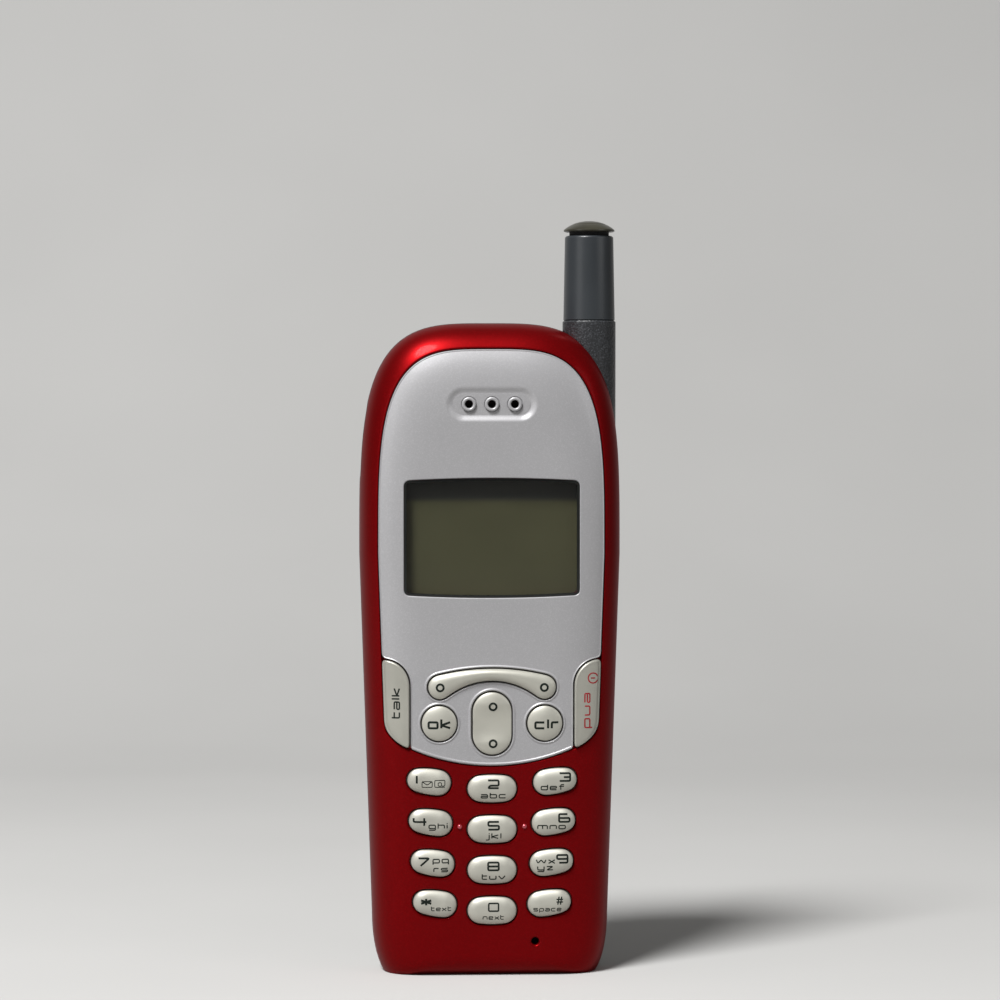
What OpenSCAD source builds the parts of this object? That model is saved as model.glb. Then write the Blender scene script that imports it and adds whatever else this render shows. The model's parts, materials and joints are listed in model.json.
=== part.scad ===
// Bar phone with a keypad, a display window and a pull-out whip antenna.
// It stands upright: +Z up, front face towards -Y. The origin is the middle of the flat base,
// one seam_setback behind the joint between the front cover and the rear housing.
// All sizes in millimetres.

/* [Body] */
// Height of the casing
body_h = 124; // [116:0.5:132]
// Width of the casing at its widest
body_w = 50; // [48:0.1:54]
// How much narrower the casing is at its foot
foot_taper = 4.7; // [3:0.1:6]
// Depth of the casing in front of the origin
front_d = 12; // [11.8:0.1:14]
// Depth of the casing behind the origin
rear_d = 12; // [11.5:0.1:14]
// How far the seam lies in front of the origin
seam_setback = 1; // [0.6:0.1:1.4]
// How far the rear housing stands proud of the front cover at the seam
seam_step = 0.2; // [0.1:0.05:0.4]
// Drop from the top to where the straight sides turn into the arch
shoulder_drop = 44; // [38:1:50]
// Wall of the sides of both shells
wall = 1.6; // [1.4:0.1:1.8]
// Thickness of the front cover's face, with the fascia
face_t = 2; // [1.8:0.1:2.2]

/* [Fascia] */
// Thickness of the silver fascia
fascia_t = 0.8; // [0.7:0.05:0.9]
// Width of the red rim around the fascia
fascia_rim = 3.2; // [2.8:0.1:4]
// Drop from the rocker's middle to the lowest point of the fascia's bottom arc
fascia_low_drop = 8.2; // [7.6:0.1:8.6]
// Radius of the fascia's bottom arc
fascia_low_r = 38.6; // [34:0.2:44]
// Gap between the fascia and the front cover
fascia_gap = 0.12; // [0.08:0.01:0.2]

/* [Display] */
// Width of the window
window_w = 33.2; // [30:0.1:34]
// Height of the window at its sides
window_h = 21.6; // [19:0.1:22.5]
// Drop from the top to the window's middle
window_drop = 40.8; // [39.5:0.1:42]
// How far the window's top and bottom edges bow out
window_bow = 0.5; // [0.2:0.05:0.8]
// Thickness of the window lens
lens_t = 0.9; // [0.7:0.05:1]
// Thickness of the display glass
lcd_t = 1.2; // [1:0.05:1.3]
// Thickness of the light guide behind the display
guide_t = 0.8; // [0.6:0.05:0.9]

/* [Earpiece] */
// Drop from the top to the earpiece
ear_drop = 15.5; // [14.5:0.1:16.5]
// Pitch of the three sound holes
ear_pitch = 4.35; // [4:0.05:4.6]
// Radius of a sound hole
ear_hole_r = 0.75; // [0.5:0.05:0.9]

/* [Number keys] */
// Height of the bottom key of the middle column
pad_z = 12.7; // [12.4:0.1:13]
// Pitch of the rows
row_pitch = 7.72; // [7.6:0.02:7.8]
// Pitch of the columns at the top row
column_pitch = 11.85; // [11.6:0.05:12]
// How much the columns close in with each row down
column_taper = 0.33; // [0.2:0.01:0.36]
// How far the outer columns sit above the middle one
column_lift = 1.3; // [1:0.05:1.5]
// Width of a middle key
mid_key_w = 9.3; // [9:0.05:9.5]
// Height of a middle key
mid_key_h = 5.2; // [5:0.05:5.4]
// Width of an outer key
side_key_w = 8.3; // [8:0.05:8.5]
// Radius of an outer key's outer end
side_key_r1 = 2.3; // [2.1:0.05:2.4]
// Radius of an outer key's inner end
side_key_r2 = 2.55; // [2.45:0.05:2.6]
// Tilt of the outer keys in degrees
side_key_tilt = 8; // [5:0.5:10]

/* [Control keys] */
// Distance of the two round keys from the middle
round_key_x = 10; // [9.8:0.05:10.2]
// Height of the two round keys and of the rocker above the top key of the middle column
control_lift = 12.24; // [11.9:0.02:12.6]
// Radius of the two round keys
round_key_r = 3.3; // [3:0.05:3.4]
// Width of the rocker
nav_w = 7.3; // [7:0.05:7.5]
// Height of the rocker
nav_h = 11.8; // [11.4:0.05:12]
// Distance of the soft-key bar's end centres from the middle
bar_x = 9.85; // [9.6:0.05:10]
// Height of the soft-key bar's end centres above the rocker's middle
bar_lift = 6.85; // [6.75:0.05:7.1]
// Radius of the soft-key bar's ends
bar_end_r = 2.27; // [2.1:0.01:2.35]
// Height of the soft-key bar's arch above its end centres
bar_rise = 3.5; // [3.3:0.05:3.7]
// Thickness of the soft-key bar's middle
bar_mid_t = 2.25; // [2.1:0.05:2.5]
// Distance of the side keys' inner edges from the middle
side_edge_x = 15.65; // [15.5:0.05:15.8]
// Height of the top of the side keys above the rocker's middle
side_top_lift = 12; // [11.8:0.1:12.4]
// Radius of the side keys' upper inner corner
side_top_r = 4.8; // [4.4:0.1:5]
// Radius of the side keys' lower outer edge
side_low_r = 8.1; // [7.8:0.1:8.3]

/* [Key fit] */
// How far a key stands out of the face
key_rise = 1; // [0.8:0.05:1.1]
// Gap between a key and its hole
key_gap = 0.22; // [0.15:0.01:0.25]
// Width of the flange that holds a key behind the face
flange_w = 0.55; // [0.5:0.05:0.6]
// Thickness of that flange
flange_t = 0.5; // [0.4:0.05:0.5]
// Travel of a key
key_travel = 0.4; // [0.3:0.05:0.4]
// Radius of the post that presses a key's dome
post_r = 1.1; // [0.9:0.05:1.2]
// Radius of the crown of a number key
number_crown_r = 15; // [13:0.5:18]
// Radius of the crown of a round key
round_crown_r = 9; // [8:0.5:12]
// Radius of the crown of the rocker
nav_crown_r = 20; // [18:1:30]
// Radius of the crown of the soft-key bar
bar_crown_r = 90; // [80:1:100]

/* [Boards] */
// Thickness of the silicone key mat
mat_t = 0.9; // [0.8:0.05:1]
// Thickness of the main board
board_t = 1; // [0.8:0.05:1.2]
// Distance of the main board's edge from the casing's outline
board_inset = 4.9; // [4.8:0.1:5.4]
// Height of the shield cans
shield_h = 2.9; // [2.4:0.1:3.1]
// Drop from the top to the lower edge of the radio's shield
rf_shield_drop = 60; // [57:0.5:62]
// Gap between the two shields
shield_gap = 3; // [2:0.1:5]
// Drop from the top to the middle of the ringer
ringer_drop = 19; // [18.8:0.1:22]

/* [Antenna] */
// Distance of the antenna's axis from the widest line of the casing
antenna_inset = 5.8; // [5.6:0.05:6]
// How far the antenna's axis lies in front of the origin
antenna_front = 0.4; // [0.3:0.05:0.6]
// Radius of the barrel moulded on the rear housing
barrel_r = 5; // [4.8:0.05:5.1]
// Height of the barrel's top end above the casing
barrel_rise = 0.5; // [0:0.1:3]
// Length of the barrel's straight part
barrel_l = 27.5; // [26:0.5:29]
// Length of the barrel's tapered lower end
barrel_end_l = 11; // [9:0.5:12]
// Length of the smooth antenna sleeve
sleeve_l = 16.6; // [15:0.1:19]
// Radius of the sleeve at its top
sleeve_top_r = 4.65; // [4.5:0.05:4.8]
// Radius of the metal ferrule
ferrule_r = 3; // [2.9:0.05:3.1]
// Length of the ferrule below the barrel's top end
ferrule_l = 16; // [15:0.5:18]
// Radius of the whip
whip_r = 0.9; // [0.8:0.05:0.95]
// Running clearance of the whip in its ferrule
whip_fit = 0.08; // [0.05:0.01:0.1]
// Travel of the whip
whip_travel = 86; // [70:1:88]
// Radius of the cap
cap_r = 4.88; // [4.7:0.02:5]
// Height of the cap's dome
cap_h = 2.1; // [1.8:0.1:2.4]
// Gap between the cap and the sleeve
cap_gap = 0.75; // [0.5:0.05:1]

/* [Battery] */
// Width of the battery pack
pack_w = 38.4; // [36:0.1:38.8]
// Height of the battery pack's lower end
pack_low_z = 16.7; // [16.4:0.1:17.5]
// Drop from the top to the battery pack's upper end
pack_drop = 36.2; // [36:0.1:40]
// Distance of the pack's inner face behind the origin
pack_y = 2.7; // [2.6:0.05:3]
// Wall of the battery pack
pack_wall = 1; // [0.8:0.05:1.1]
// Thickness of the floor between the phone's inside and the battery
bay_floor_t = 0.9; // [0.8:0.05:1]
// Gap around the battery pack
pack_gap = 0.15; // [0.12:0.01:0.2]
// Width of the latch
latch_w = 12; // [10:0.2:14]
// Height of the latch
latch_h = 6; // [5:0.1:6.2]
// Travel of the latch
latch_travel = 1.5; // [1:0.1:1.8]

/* [Sockets] */
// Radius of the headset plug that the jack takes
plug_r = 1.25; // [1.2:0.05:1.3]
// Depth of the headset jack
jack_l = 11.5; // [11:0.1:12]
// Drop from the top to the headset jack
jack_drop = 22.5; // [22.2:0.1:22.8]
// Height of the rubber cover over the jack
jack_cover_h = 15.5; // [14:0.1:16]
// Width of the rubber cover over the jack
jack_cover_w = 5.6; // [5.2:0.1:6]
// Width of the mouth of the bottom socket
socket_w = 18; // [16:0.2:19]
// Depth, front to back, of the mouth of the bottom socket
socket_d = 4.5; // [4.4:0.05:4.6]
// Depth of the bottom socket
socket_l = 5.5; // [5:0.1:6]

/* [Fasteners] */
// Radius of a screw boss
boss_r = 2.2; // [2:0.05:2.3]
// Radius of a screw
screw_r = 0.85; // [0.8:0.05:0.9]
// Radius of a screw's head
screw_head_r = 1.55; // [1.4:0.05:1.6]
// Distance of the lower screws from the casing's side at its foot
lower_screw_inset = 7.65; // [7.4:0.05:8]
// Distance of the upper left screw from the casing's side
left_screw_inset = 11.5; // [11.2:0.1:12]
// Distance of the upper right screw from the antenna's axis
right_screw_gap = 9.7; // [9.4:0.1:10]
// Drop from the top to the upper screws
upper_screw_drop = 10.7; // [10.4:0.1:11]

/* [Hidden] */
$fn = 48;

// Cut-throughs run past the surface by this much
eps = 0.1;
// Clearance between pieces that only lie beside each other
slack = 0.1;

// Casing form: the outline's foot corners, its arched top and the rounding of both faces
corner_w = 3.75;
corner_h = 12;
corner_steps = 4;
top_steps = 11;
top_power = 3.65;
base_drop = 1.2;
base_rise = 0.5;
top_lean = 1.45;
face_steps = 6;
front_round = 14;
front_power = 3;
rear_round = 16;
rear_power = 2.6;
seam_y = -seam_setback;
foot_w = body_w - foot_taper;
shoulder_z = body_h - shoulder_drop;

// Depths of the layers behind the front face
face_in_y = -front_d + face_t;
flange_y = face_in_y + slack;
flange_back_y = flange_y + flange_t;
mat_y = flange_back_y + key_travel + 3 * slack;
mat_back_y = mat_y + mat_t;
sheet_t = 0.15;
dome_h = 0.2;
board_y = mat_back_y + 2 * slack + dome_h + sheet_t;
board_back_y = board_y + board_t;
sheet_y = board_y - sheet_t;
post_back_y = sheet_y - dome_h - key_travel - slack;
part_y = board_back_y + slack;
shield_back_y = part_y + shield_h;

// Height of the control keys
control_z = pad_z + 3 * row_pitch + control_lift;

// The two rockers sit deeper, so that they have room to tilt
rocker_y = flange_y + key_travel;
rocker_back_y = rocker_y + flange_t;
nav_post_z = nav_h / 2 - 2.45;

// Steps of each round end of an outer number key
egg_steps = 10;

// Talk and end keys: places of the two corner arcs and of the post
side_top_z = control_z + side_top_lift;
side_arc_top_z = side_top_z - side_top_r;
side_arc_top_x = side_edge_x + side_top_r;
side_arc_low_z = control_z + 2.9;
side_arc_low_x = 13.1;
side_post_x = side_edge_x + 1.2;
side_post_z = side_arc_low_z + 1.5;
side_sink = 0.7;

// Soft-key bar: arcs through the tops of its ends and under its middle
bar_z = control_z + bar_lift;
bar_top_z = bar_z + bar_rise;
bar_top_sag = bar_rise - bar_end_r;
bar_top_r = (bar_x * bar_x + bar_top_sag * bar_top_sag) / (2 * bar_top_sag);
bar_low_x = bar_x - 1.45;
bar_low_z = bar_z - 1.65;
bar_low_sag = bar_top_z - bar_mid_t - bar_low_z;
bar_low_r = (bar_low_x * bar_low_x + bar_low_sag * bar_low_sag) / (2 * bar_low_sag);

// Display stack
window_z = body_h - window_drop;
window_corner_r = 0.8;
ledge = 1;
gasket_t = 0.4;
lcd_w = window_w + 1;
lcd_h = window_h + 4.4;
lcd_y = face_in_y + gasket_t + slack;
guide_y = lcd_y + lcd_t + slack / 2;
frame_border = 0.8;
lens_y = -front_d + 0.35;

// The face is flattened inside, so that the key mat and the display lie on a plane
keypad_flat_w = 34;
keypad_flat_low = 7.5;
display_flat_w = lcd_w + 2.2;
display_flat_low = window_z - lcd_h / 2 - 5.7;
display_flat_top = window_z + lcd_h / 2 + 5.8;

// Earpiece
ear_z = body_h - ear_drop;
ear_dish_w = 17;
ear_dish_h = 6;
ear_dish_depth = 0.35;
speaker_r = 6.4;
speaker_t = 2;
ear_ring_r = 1.3;

// Microphone
mic_z = 6.6;
mic_r = 2.2;
boot_r = 3;
mic_gap = 1.6;
mic_x = foot_w / 2 - lower_screw_inset - boss_r - mic_gap - boot_r;
mic_y = face_in_y + 0.9;
mic_hole_r = 0.7;

// Antenna
antenna_x = body_w / 2 - antenna_inset;
antenna_y = -antenna_front;
barrel_top_z = body_h + barrel_rise;
barrel_low_z = barrel_top_z - barrel_l;
barrel_end_z = barrel_low_z - barrel_end_l;
barrel_end_r = 3.6;
whip_bore_r = 2.1;
ferrule_low_z = barrel_top_z - ferrule_l;
ferrule_neck_r = 2.1;
ferrule_bore_r = whip_r + whip_fit;
sleeve_top_z = barrel_top_z + sleeve_l;
sleeve_wall = 1;
cap_z = sleeve_top_z + cap_gap;
stop_r = 1.6;
stop_l = 2.5;
stop_top_z = ferrule_low_z - slack - whip_travel;
coil_r = 3;
coil_wire_r = 0.35;
coil_turns = 5;
clip_w = 2;
clip_t = 0.3;
clip_foot = 3.5;
clip_z = barrel_low_z + 0.6;
clip_top_z = ferrule_low_z + 3.5;
neck_l = 2;
former_r = 2.5;
sleeve_chamfer = 0.45;
cap_neck_r = 3.8;

// Battery
pack_top_z = body_h - pack_drop;
bay_wall = 1.2;
bay_low_z = pack_low_z - pack_gap;
bay_top_z = pack_top_z + pack_gap;
bay_half_w = pack_w / 2 + pack_gap;
bay_floor_y = pack_y - pack_gap;
bay_front_y = bay_floor_y - bay_floor_t;
plate_t = 0.8;
cell_w = 34;
cell_h = 58;
cell_t = 5.2;
contact_z = pack_low_z + 7;
contact_pitch = 4;
contact_w = 2;
contact_count = 4;
contact_block_w = 17;
contact_block_h = 5;
pad_w = 2.6;
pad_t = 0.25;

// Latch, in a pocket of the rear housing above the battery
latch_y = 7.6;
latch_z = bay_top_z + bay_wall + 0.3;
latch_tooth_w = 5;
latch_tooth_t = 1.2;
latch_gap = 0.15;
spring_r = 1.1;
spring_wire_r = 0.25;
spring_turns = 4;
spring_seat = 2.4;
spring_room_r = spring_r + spring_wire_r + 0.2;
latch_out_y = rear_d - 0.2;
spring_y = (latch_y + latch_out_y) / 2;
latch_room_w = latch_w + 2 * latch_gap;
latch_room_top = latch_z + latch_h + latch_travel + latch_gap;

// Headset jack, on the seam of the left side
jack_y = seam_y;
jack_z = body_h - jack_drop;
jack_half = 2.9;
jack_nose_x = -body_w / 2 + wall + 0.5;
jack_nose_r = 2;
jack_block_x = jack_nose_x + 2.4;
jack_cover_in = 0.2;
jack_cover_t = 0.9;
jack_mouth_r = jack_nose_r + 0.2;

// Bottom socket
socket_y = 2.4;
socket_skin = 0.8;
socket_back = 2.5;

// Screws
lower_screw_x = foot_w / 2 - lower_screw_inset;
lower_screw_z = 8.3;
left_screw_x = -body_w / 2 + left_screw_inset;
right_screw_x = antenna_x - right_screw_gap;
upper_screw_z = body_h - upper_screw_drop;
screw_spots = [[-lower_screw_x, lower_screw_z], [lower_screw_x, lower_screw_z],
    [left_screw_x, upper_screw_z], [right_screw_x, upper_screw_z]];
boss_back_y = 2;
well_y = boss_back_y + slack;
screw_seat_t = 1.1;
screw_head_t = 1.2;
screw_tip_y = board_back_y;
well_r = screw_head_r + 0.25;
well_wall = 0.9;

// Motor, along X, behind the foot of the board
motor_r = 2.6;
motor_l = 10;
motor_x = -6.5;
motor_y = part_y + motor_r;
motor_z = 12.2;
weight_r = 2.3;
weight_l = 3;
weight_gap = 0.5;
shaft_r = 0.4;

// Seam: a tongue on the rear housing runs inside the front cover
tongue_in = seam_step + wall / 2 + slack;
tongue_t = 0.6;
tongue_h = 1.1;

// Places on the boards
mat_w = 33.6;
mat_low_z = 9.8;
mat_top_z = 60.6;
rf_shield_w = 30;
rf_shield_z = body_h - rf_shield_drop;
rf_shield_h = 29;
logic_shield_w = 32;
logic_shield_z = 28;
logic_shield_h = rf_shield_z - shield_gap - logic_shield_z;
ringer_r = 5.5;
ringer_x = 3;
ringer_z = body_h - ringer_drop;

// Colours
red = [0.55, 0.07, 0.1];
silver = [0.78, 0.78, 0.8];
key_silver = [0.72, 0.72, 0.68];
charcoal = [0.2, 0.2, 0.22];
steel = [0.6, 0.62, 0.64];
gold = [0.83, 0.68, 0.3];
board_green = [0.1, 0.35, 0.2];

// ---------------------------------------------------------------- forms

function raise(v, e) = pow(max(v, 0), e);

// The casing's outline seen from the front, s inside its widest line, anticlockwise from the foot.
// The foot is cut flat at the height floor_z.
function outline(s, floor_z = 0) =
    let (w = body_w / 2 - s)
    let (f = foot_w / 2 - s)
    let (low = base_rise * s - base_drop)
    let (high = body_h - top_lean * s)
    let (first = low < floor_z ? acos(1 - (floor_z - low) / corner_h) : 0)
    let (corner = [for (i = [0:corner_steps])
        let (a = first + (90 - first) * i / corner_steps)
        [f - corner_w + corner_w * sin(a), low + corner_h * (1 - cos(a))]])
    let (arch = [for (i = [0:top_steps])
        let (a = 90 * i / top_steps)
        [w * raise(cos(a), 2 / top_power), shoulder_z + (high - shoulder_z) * raise(sin(a), 2 / top_power)]])
    let (right = concat(corner, arch))
    concat(right, [for (i = [len(right) - 2:-1:0]) [-right[i][0], right[i][1]]]);

function ring(s, y, floor_z) = [for (p = outline(s, floor_z)) [p[0], y, p[1]]];

// Inset and depth of the front face at an angle of its rounding, d below the surface
function front_s(a, d) = seam_step + front_round - (front_round - d) * raise(cos(a), 2 / front_power);
function front_y(a, d) = seam_y - (front_d + seam_y - d) * raise(sin(a), 2 / front_power);
function rear_s(a, d) = rear_round - (rear_round - d) * raise(cos(a), 2 / rear_power);
function rear_y(a, d) = seam_y + (rear_d - seam_y - d) * raise(sin(a), 2 / rear_power);

// A closed skin over rings of points, the foremost ring first
module loft(rings) {
    n = len(rings[0]);
    m = len(rings);
    points = [for (r = rings) each r];
    front = [[for (i = [n - 1:-1:0]) i]];
    rear = [[for (i = [0:n - 1]) (m - 1) * n + i]];
    sides = [for (j = [0:m - 2]) for (i = [0:n - 1])
        let (a = j * n + i)
        let (b = j * n + (i + 1) % n)
        each [[a, b, b + n], [a, b + n, a + n]]];
    polyhedron(points = points, faces = concat(front, sides, rear), convexity = 6);
}

// The space in front of the seam, d inside the sides and depth inside the face
module front_form(d, depth, extra = 0) {
    rounding = [for (k = [face_steps:-1:0])
        let (a = 90 * k / face_steps)
        ring(front_s(a, d), front_y(a, depth), max(d, 0))];
    tail = extra > 0 ? [ring(front_s(0, d), seam_y + extra, max(d, 0))] : [];
    loft(concat(rounding, tail));
}

// The space behind the seam, d inside the surface, run on in front of the seam by extra
module rear_form(d, extra = 0) {
    rounding = [for (k = [0:face_steps])
        let (a = 90 * k / face_steps)
        ring(rear_s(a, d), rear_y(a, d), d)];
    head = extra > 0 ? [ring(rear_s(0, d), seam_y - extra, d)] : [];
    loft(concat(head, rounding));
}

// A plate from y0 to y1 with the outline of its children, drawn in X and Z
module plate(y0, y1) {
    translate([0, y1, 0]) rotate([90, 0, 0]) linear_extrude(y1 - y0) children();
}

// A rod along Y
module rod_y(r, y0, y1, x, z) {
    translate([x, y1, z]) rotate([90, 0, 0]) cylinder(r = r, h = y1 - y0);
}

// A rod along Z at the antenna's axis
module rod_z(r, z0, z1, r2 = 0) {
    translate([antenna_x, antenna_y, z0]) cylinder(r1 = r, r2 = r2 > 0 ? r2 : r, h = z1 - z0);
}

module block(x0, x1, y0, y1, z0, z1) {
    translate([x0, y0, z0]) cube([x1 - x0, y1 - y0, z1 - z0]);
}

// A round wire along a helix, closed at both ends
module helix_wire(r, wire_r, turns, height, per_turn = 12, sides = 6) {
    count = turns * per_turn;
    lean = atan2(height, 2 * PI * r * turns);
    points = [for (i = [0:count]) for (j = [0:sides - 1])
        let (a = 360 * i / per_turn)
        let (b = 360 * j / sides)
        let (out = r + wire_r * cos(b))
        let (up = wire_r * sin(b))
        [out * cos(a) + up * sin(lean) * sin(a), out * sin(a) - up * sin(lean) * cos(a),
            height * i / count + up * cos(lean)]];
    skin = [for (i = [0:count - 1]) for (j = [0:sides - 1])
        let (a = i * sides + j)
        let (b = i * sides + (j + 1) % sides)
        each [[a, b, b + sides], [a, b + sides, a + sides]]];
    start = [[for (j = [sides - 1:-1:0]) j]];
    end = [[for (j = [0:sides - 1]) count * sides + j]];
    polyhedron(points = points, faces = concat(skin, start, end), convexity = 8);
}

// ---------------------------------------------------------------- key outlines, grown by g

module level_oval(g = 0, w = mid_key_w, h = mid_key_h) {
    reach = (w - h) / 2;
    translate([-reach, 0]) circle(r = h / 2 + g);
    translate([reach, 0]) circle(r = h / 2 + g);
    translate([-reach, -h / 2 - g]) square([2 * reach, h + 2 * g]);
}

// An egg that is narrow at its outer end, for the left column: two arcs and their tangents
module leaning_oval(g = 0) {
    span = side_key_w - side_key_r1 - side_key_r2;
    x1 = -side_key_w / 2 + side_key_r1;
    lean = asin((side_key_r2 - side_key_r1) / span);
    outer = [for (i = [0:egg_steps])
        let (a = 90 + lean + (180 - 2 * lean) * i / egg_steps)
        [x1 + (side_key_r1 + g) * cos(a), (side_key_r1 + g) * sin(a)]];
    inner = [for (i = [0:egg_steps])
        let (a = -90 - lean + (180 + 2 * lean) * i / egg_steps)
        [x1 + span + (side_key_r2 + g) * cos(a), (side_key_r2 + g) * sin(a)]];
    rotate(-side_key_tilt) polygon(concat(outer, inner));
}

function row_z(row) = pad_z + row * row_pitch;
function column_x(row) = column_pitch - (3 - row) * column_taper;

// The outline of the key in a column (-1, 0 or 1) and a row counted from the foot
module number_outline(column, row, g = 0) {
    if (column == 0)
        translate([0, row_z(row)]) level_oval(g);
    else
        translate([column * column_x(row), row_z(row) + column_lift])
            mirror([column > 0 ? 1 : 0, 0]) leaning_oval(g);
}

module round_outline(side, g = 0) {
    translate([side * round_key_x, control_z]) circle(r = round_key_r + g);
}

module nav_outline(g = 0) {
    translate([0, control_z]) rotate(90) level_oval(g, nav_h, nav_w);
}

module bar_outline(g = 0) {
    for (side = [-1, 1])
        translate([side * bar_x, bar_z]) circle(r = bar_end_r + g);
    difference() {
        intersection() {
            translate([0, bar_top_z - bar_top_r]) circle(r = bar_top_r + g, $fn = 96);
            translate([-bar_x, bar_low_z - g]) square([2 * bar_x, 2 * bar_rise + 2 * g]);
        }
        translate([0, bar_top_z - bar_mid_t - bar_low_r]) circle(r = bar_low_r - g);
    }
}

// The left side key: an upper inner corner and a lower outer edge, both round
module side_outline(g = 0) {
    intersection() {
        polygon(outline(fascia_rim + seam_step + fascia_gap - g));
        translate([-body_w / 2, 0]) square([body_w / 2 - side_edge_x + g, side_top_z + g]);
        union() {
            translate([-side_arc_top_x, side_arc_top_z]) circle(r = side_top_r + g);
            translate([-body_w / 2, 0]) square([body_w / 2, side_arc_top_z]);
        }
        union() {
            translate([-side_arc_low_x, side_arc_low_z]) circle(r = side_low_r + g);
            translate([-body_w / 2, side_arc_low_z]) square([body_w / 2, body_h]);
        }
    }
}

module window_outline(g = 0) {
    w = window_w / 2 + g;
    h = window_h / 2 + g;
    r = window_corner_r;
    bow_r = (w * w + window_bow * window_bow) / (2 * window_bow);
    translate([0, window_z]) intersection() {
        union() {
            translate([-w, -h + r]) square([2 * w, 2 * h - 2 * r]);
            translate([-w + r, -h - window_bow]) square([2 * w - 2 * r, 2 * h + 2 * window_bow]);
            for (x = [-w + r, w - r])
                for (z = [-h + r, h - r])
                    translate([x, z]) circle(r = r, $fn = 16);
        }
        translate([0, h + window_bow - bow_r]) circle(r = bow_r, $fn = 240);
        translate([0, -h - window_bow + bow_r]) circle(r = bow_r, $fn = 240);
    }
}

// The fascia's outline, without the side keys' corners
module fascia_outline(g = 0) {
    low_middle = control_z - fascia_low_drop + fascia_low_r;
    difference() {
        intersection() {
            polygon(outline(fascia_rim + seam_step - g));
            union() {
                translate([0, low_middle]) circle(r = fascia_low_r + g, $fn = 144);
                translate([-body_w / 2, low_middle]) square([body_w, body_h - low_middle]);
            }
        }
        for (side = [0, 1])
            mirror([side, 0]) {
                side_outline(key_gap - g);
                translate([-body_w / 2, 0])
                    square([body_w / 2 - side_edge_x + key_gap - g, side_arc_top_z - side_top_r / 2]);
            }
    }
}

// ---------------------------------------------------------------- keys

// A key: a crowned top, a flange behind the face and posts that reach the domes
module key_form(crown_r, x, z) {
    intersection() {
        plate(-front_d - key_rise, flange_back_y) children(0);
        translate([x, -front_d - key_rise + crown_r, z]) sphere(r = crown_r, $fn = 96);
    }
    plate(flange_y, flange_back_y) children(1);
}

module post(x, z) {
    rod_y(post_r, flange_back_y - eps, post_back_y, x, z);
}

module number_key(column, row) {
    x = column * column_x(row);
    z = row_z(row) + abs(column) * column_lift;
    color(key_silver) {
        key_form(number_crown_r, x, z) {
            number_outline(column, row);
            number_outline(column, row, flange_w);
        }
        post(x, z);
    }
}

module round_key(side) {
    color(key_silver) {
        key_form(round_crown_r, side * round_key_x, control_z) {
            round_outline(side);
            round_outline(side, flange_w);
        }
        post(side * round_key_x, control_z);
    }
}

module nav_key() {
    color(key_silver) {
        intersection() {
            plate(-front_d - key_rise, rocker_back_y) nav_outline();
            translate([0, -front_d - key_rise + nav_crown_r, control_z]) sphere(r = nav_crown_r, $fn = 96);
        }
        plate(rocker_y, rocker_back_y) nav_outline(flange_w);
        for (side = [-1, 1])
            rod_y(post_r, rocker_back_y - eps, post_back_y, 0, control_z + side * nav_post_z);
    }
}

module soft_key_bar() {
    color(key_silver) {
        intersection() {
            plate(-front_d - key_rise, rocker_back_y) bar_outline();
            translate([0, -front_d - key_rise + bar_crown_r, bar_z]) sphere(r = bar_crown_r, $fn = 180);
        }
        plate(rocker_y, rocker_back_y) bar_outline(flange_w);
        for (side = [-1, 1])
            rod_y(post_r, rocker_back_y - eps, post_back_y, side * bar_x, bar_z);
    }
}

// The left side key follows the rounding of the casing
module side_key() {
    color(key_silver) {
        intersection() {
            plate(-front_d - key_rise, flange_back_y) side_outline();
            front_form(-key_rise * side_sink, -key_rise * side_sink);
        }
        block(-side_edge_x - 1, -side_edge_x + flange_w + key_gap, flange_y, flange_back_y,
            side_arc_low_z - 4, side_arc_top_z);
        post(-side_post_x, side_post_z);
    }
}

module talk_key() {
    side_key();
}

module end_key() {
    mirror([1, 0, 0]) side_key();
}

// ---------------------------------------------------------------- openings that pieces share

// Everything that passes through the fascia
module control_places(g) {
    for (side = [-1, 1])
        round_outline(side, g);
    nav_outline(g);
    bar_outline(g);
}

module number_places(g) {
    for (column = [-1:1])
        for (row = [0:3])
            number_outline(column, row, g);
}

module side_places(g) {
    for (side = [0, 1])
        mirror([side, 0]) side_outline(g);
}

// The posts of all keys, grown by g
module post_places(g) {
    for (column = [-1:1])
        for (row = [0:3])
            translate([column * column_x(row), row_z(row) + abs(column) * column_lift])
                circle(r = post_r + g, $fn = 24);
    for (side = [-1, 1]) {
        translate([side * round_key_x, control_z]) circle(r = post_r + g, $fn = 24);
        translate([side * side_post_x, side_post_z]) circle(r = post_r + g, $fn = 24);
        translate([side * bar_x, bar_z]) circle(r = post_r + g, $fn = 24);
        translate([0, control_z + side * nav_post_z]) circle(r = post_r + g, $fn = 24);
    }
}

module screw_places(r) {
    for (p = screw_spots)
        translate(p) circle(r = r);
}

// The space that the antenna barrel takes up, grown by g
module barrel_space(g = 0) {
    rod_z(barrel_r + g, barrel_low_z, barrel_top_z + g);
    rod_z(barrel_end_r + g, barrel_end_z, barrel_low_z, barrel_r + g);
}

// The long oval of the jack's rubber cover, drawn in Y and Z
module jack_cover_outline(g = 0) {
    reach = jack_cover_h / 2 - jack_cover_w / 2;
    for (side = [-1, 1])
        translate([jack_y, jack_z + side * reach]) circle(r = jack_cover_w / 2 + g);
    translate([jack_y - jack_cover_w / 2 - g, jack_z - reach])
        square([jack_cover_w + 2 * g, 2 * reach]);
}

// A plate from x0 to x1 with an outline drawn in Y and Z
module side_plate(x0, x1) {
    translate([x0, 0, 0]) rotate([90, 0, 90]) linear_extrude(x1 - x0) children();
}

// A rod along X at the jack's axis
module jack_rod(r, x0, x1) {
    translate([x0, jack_y, jack_z]) rotate([0, 90, 0]) cylinder(r = r, h = x1 - x0);
}

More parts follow.
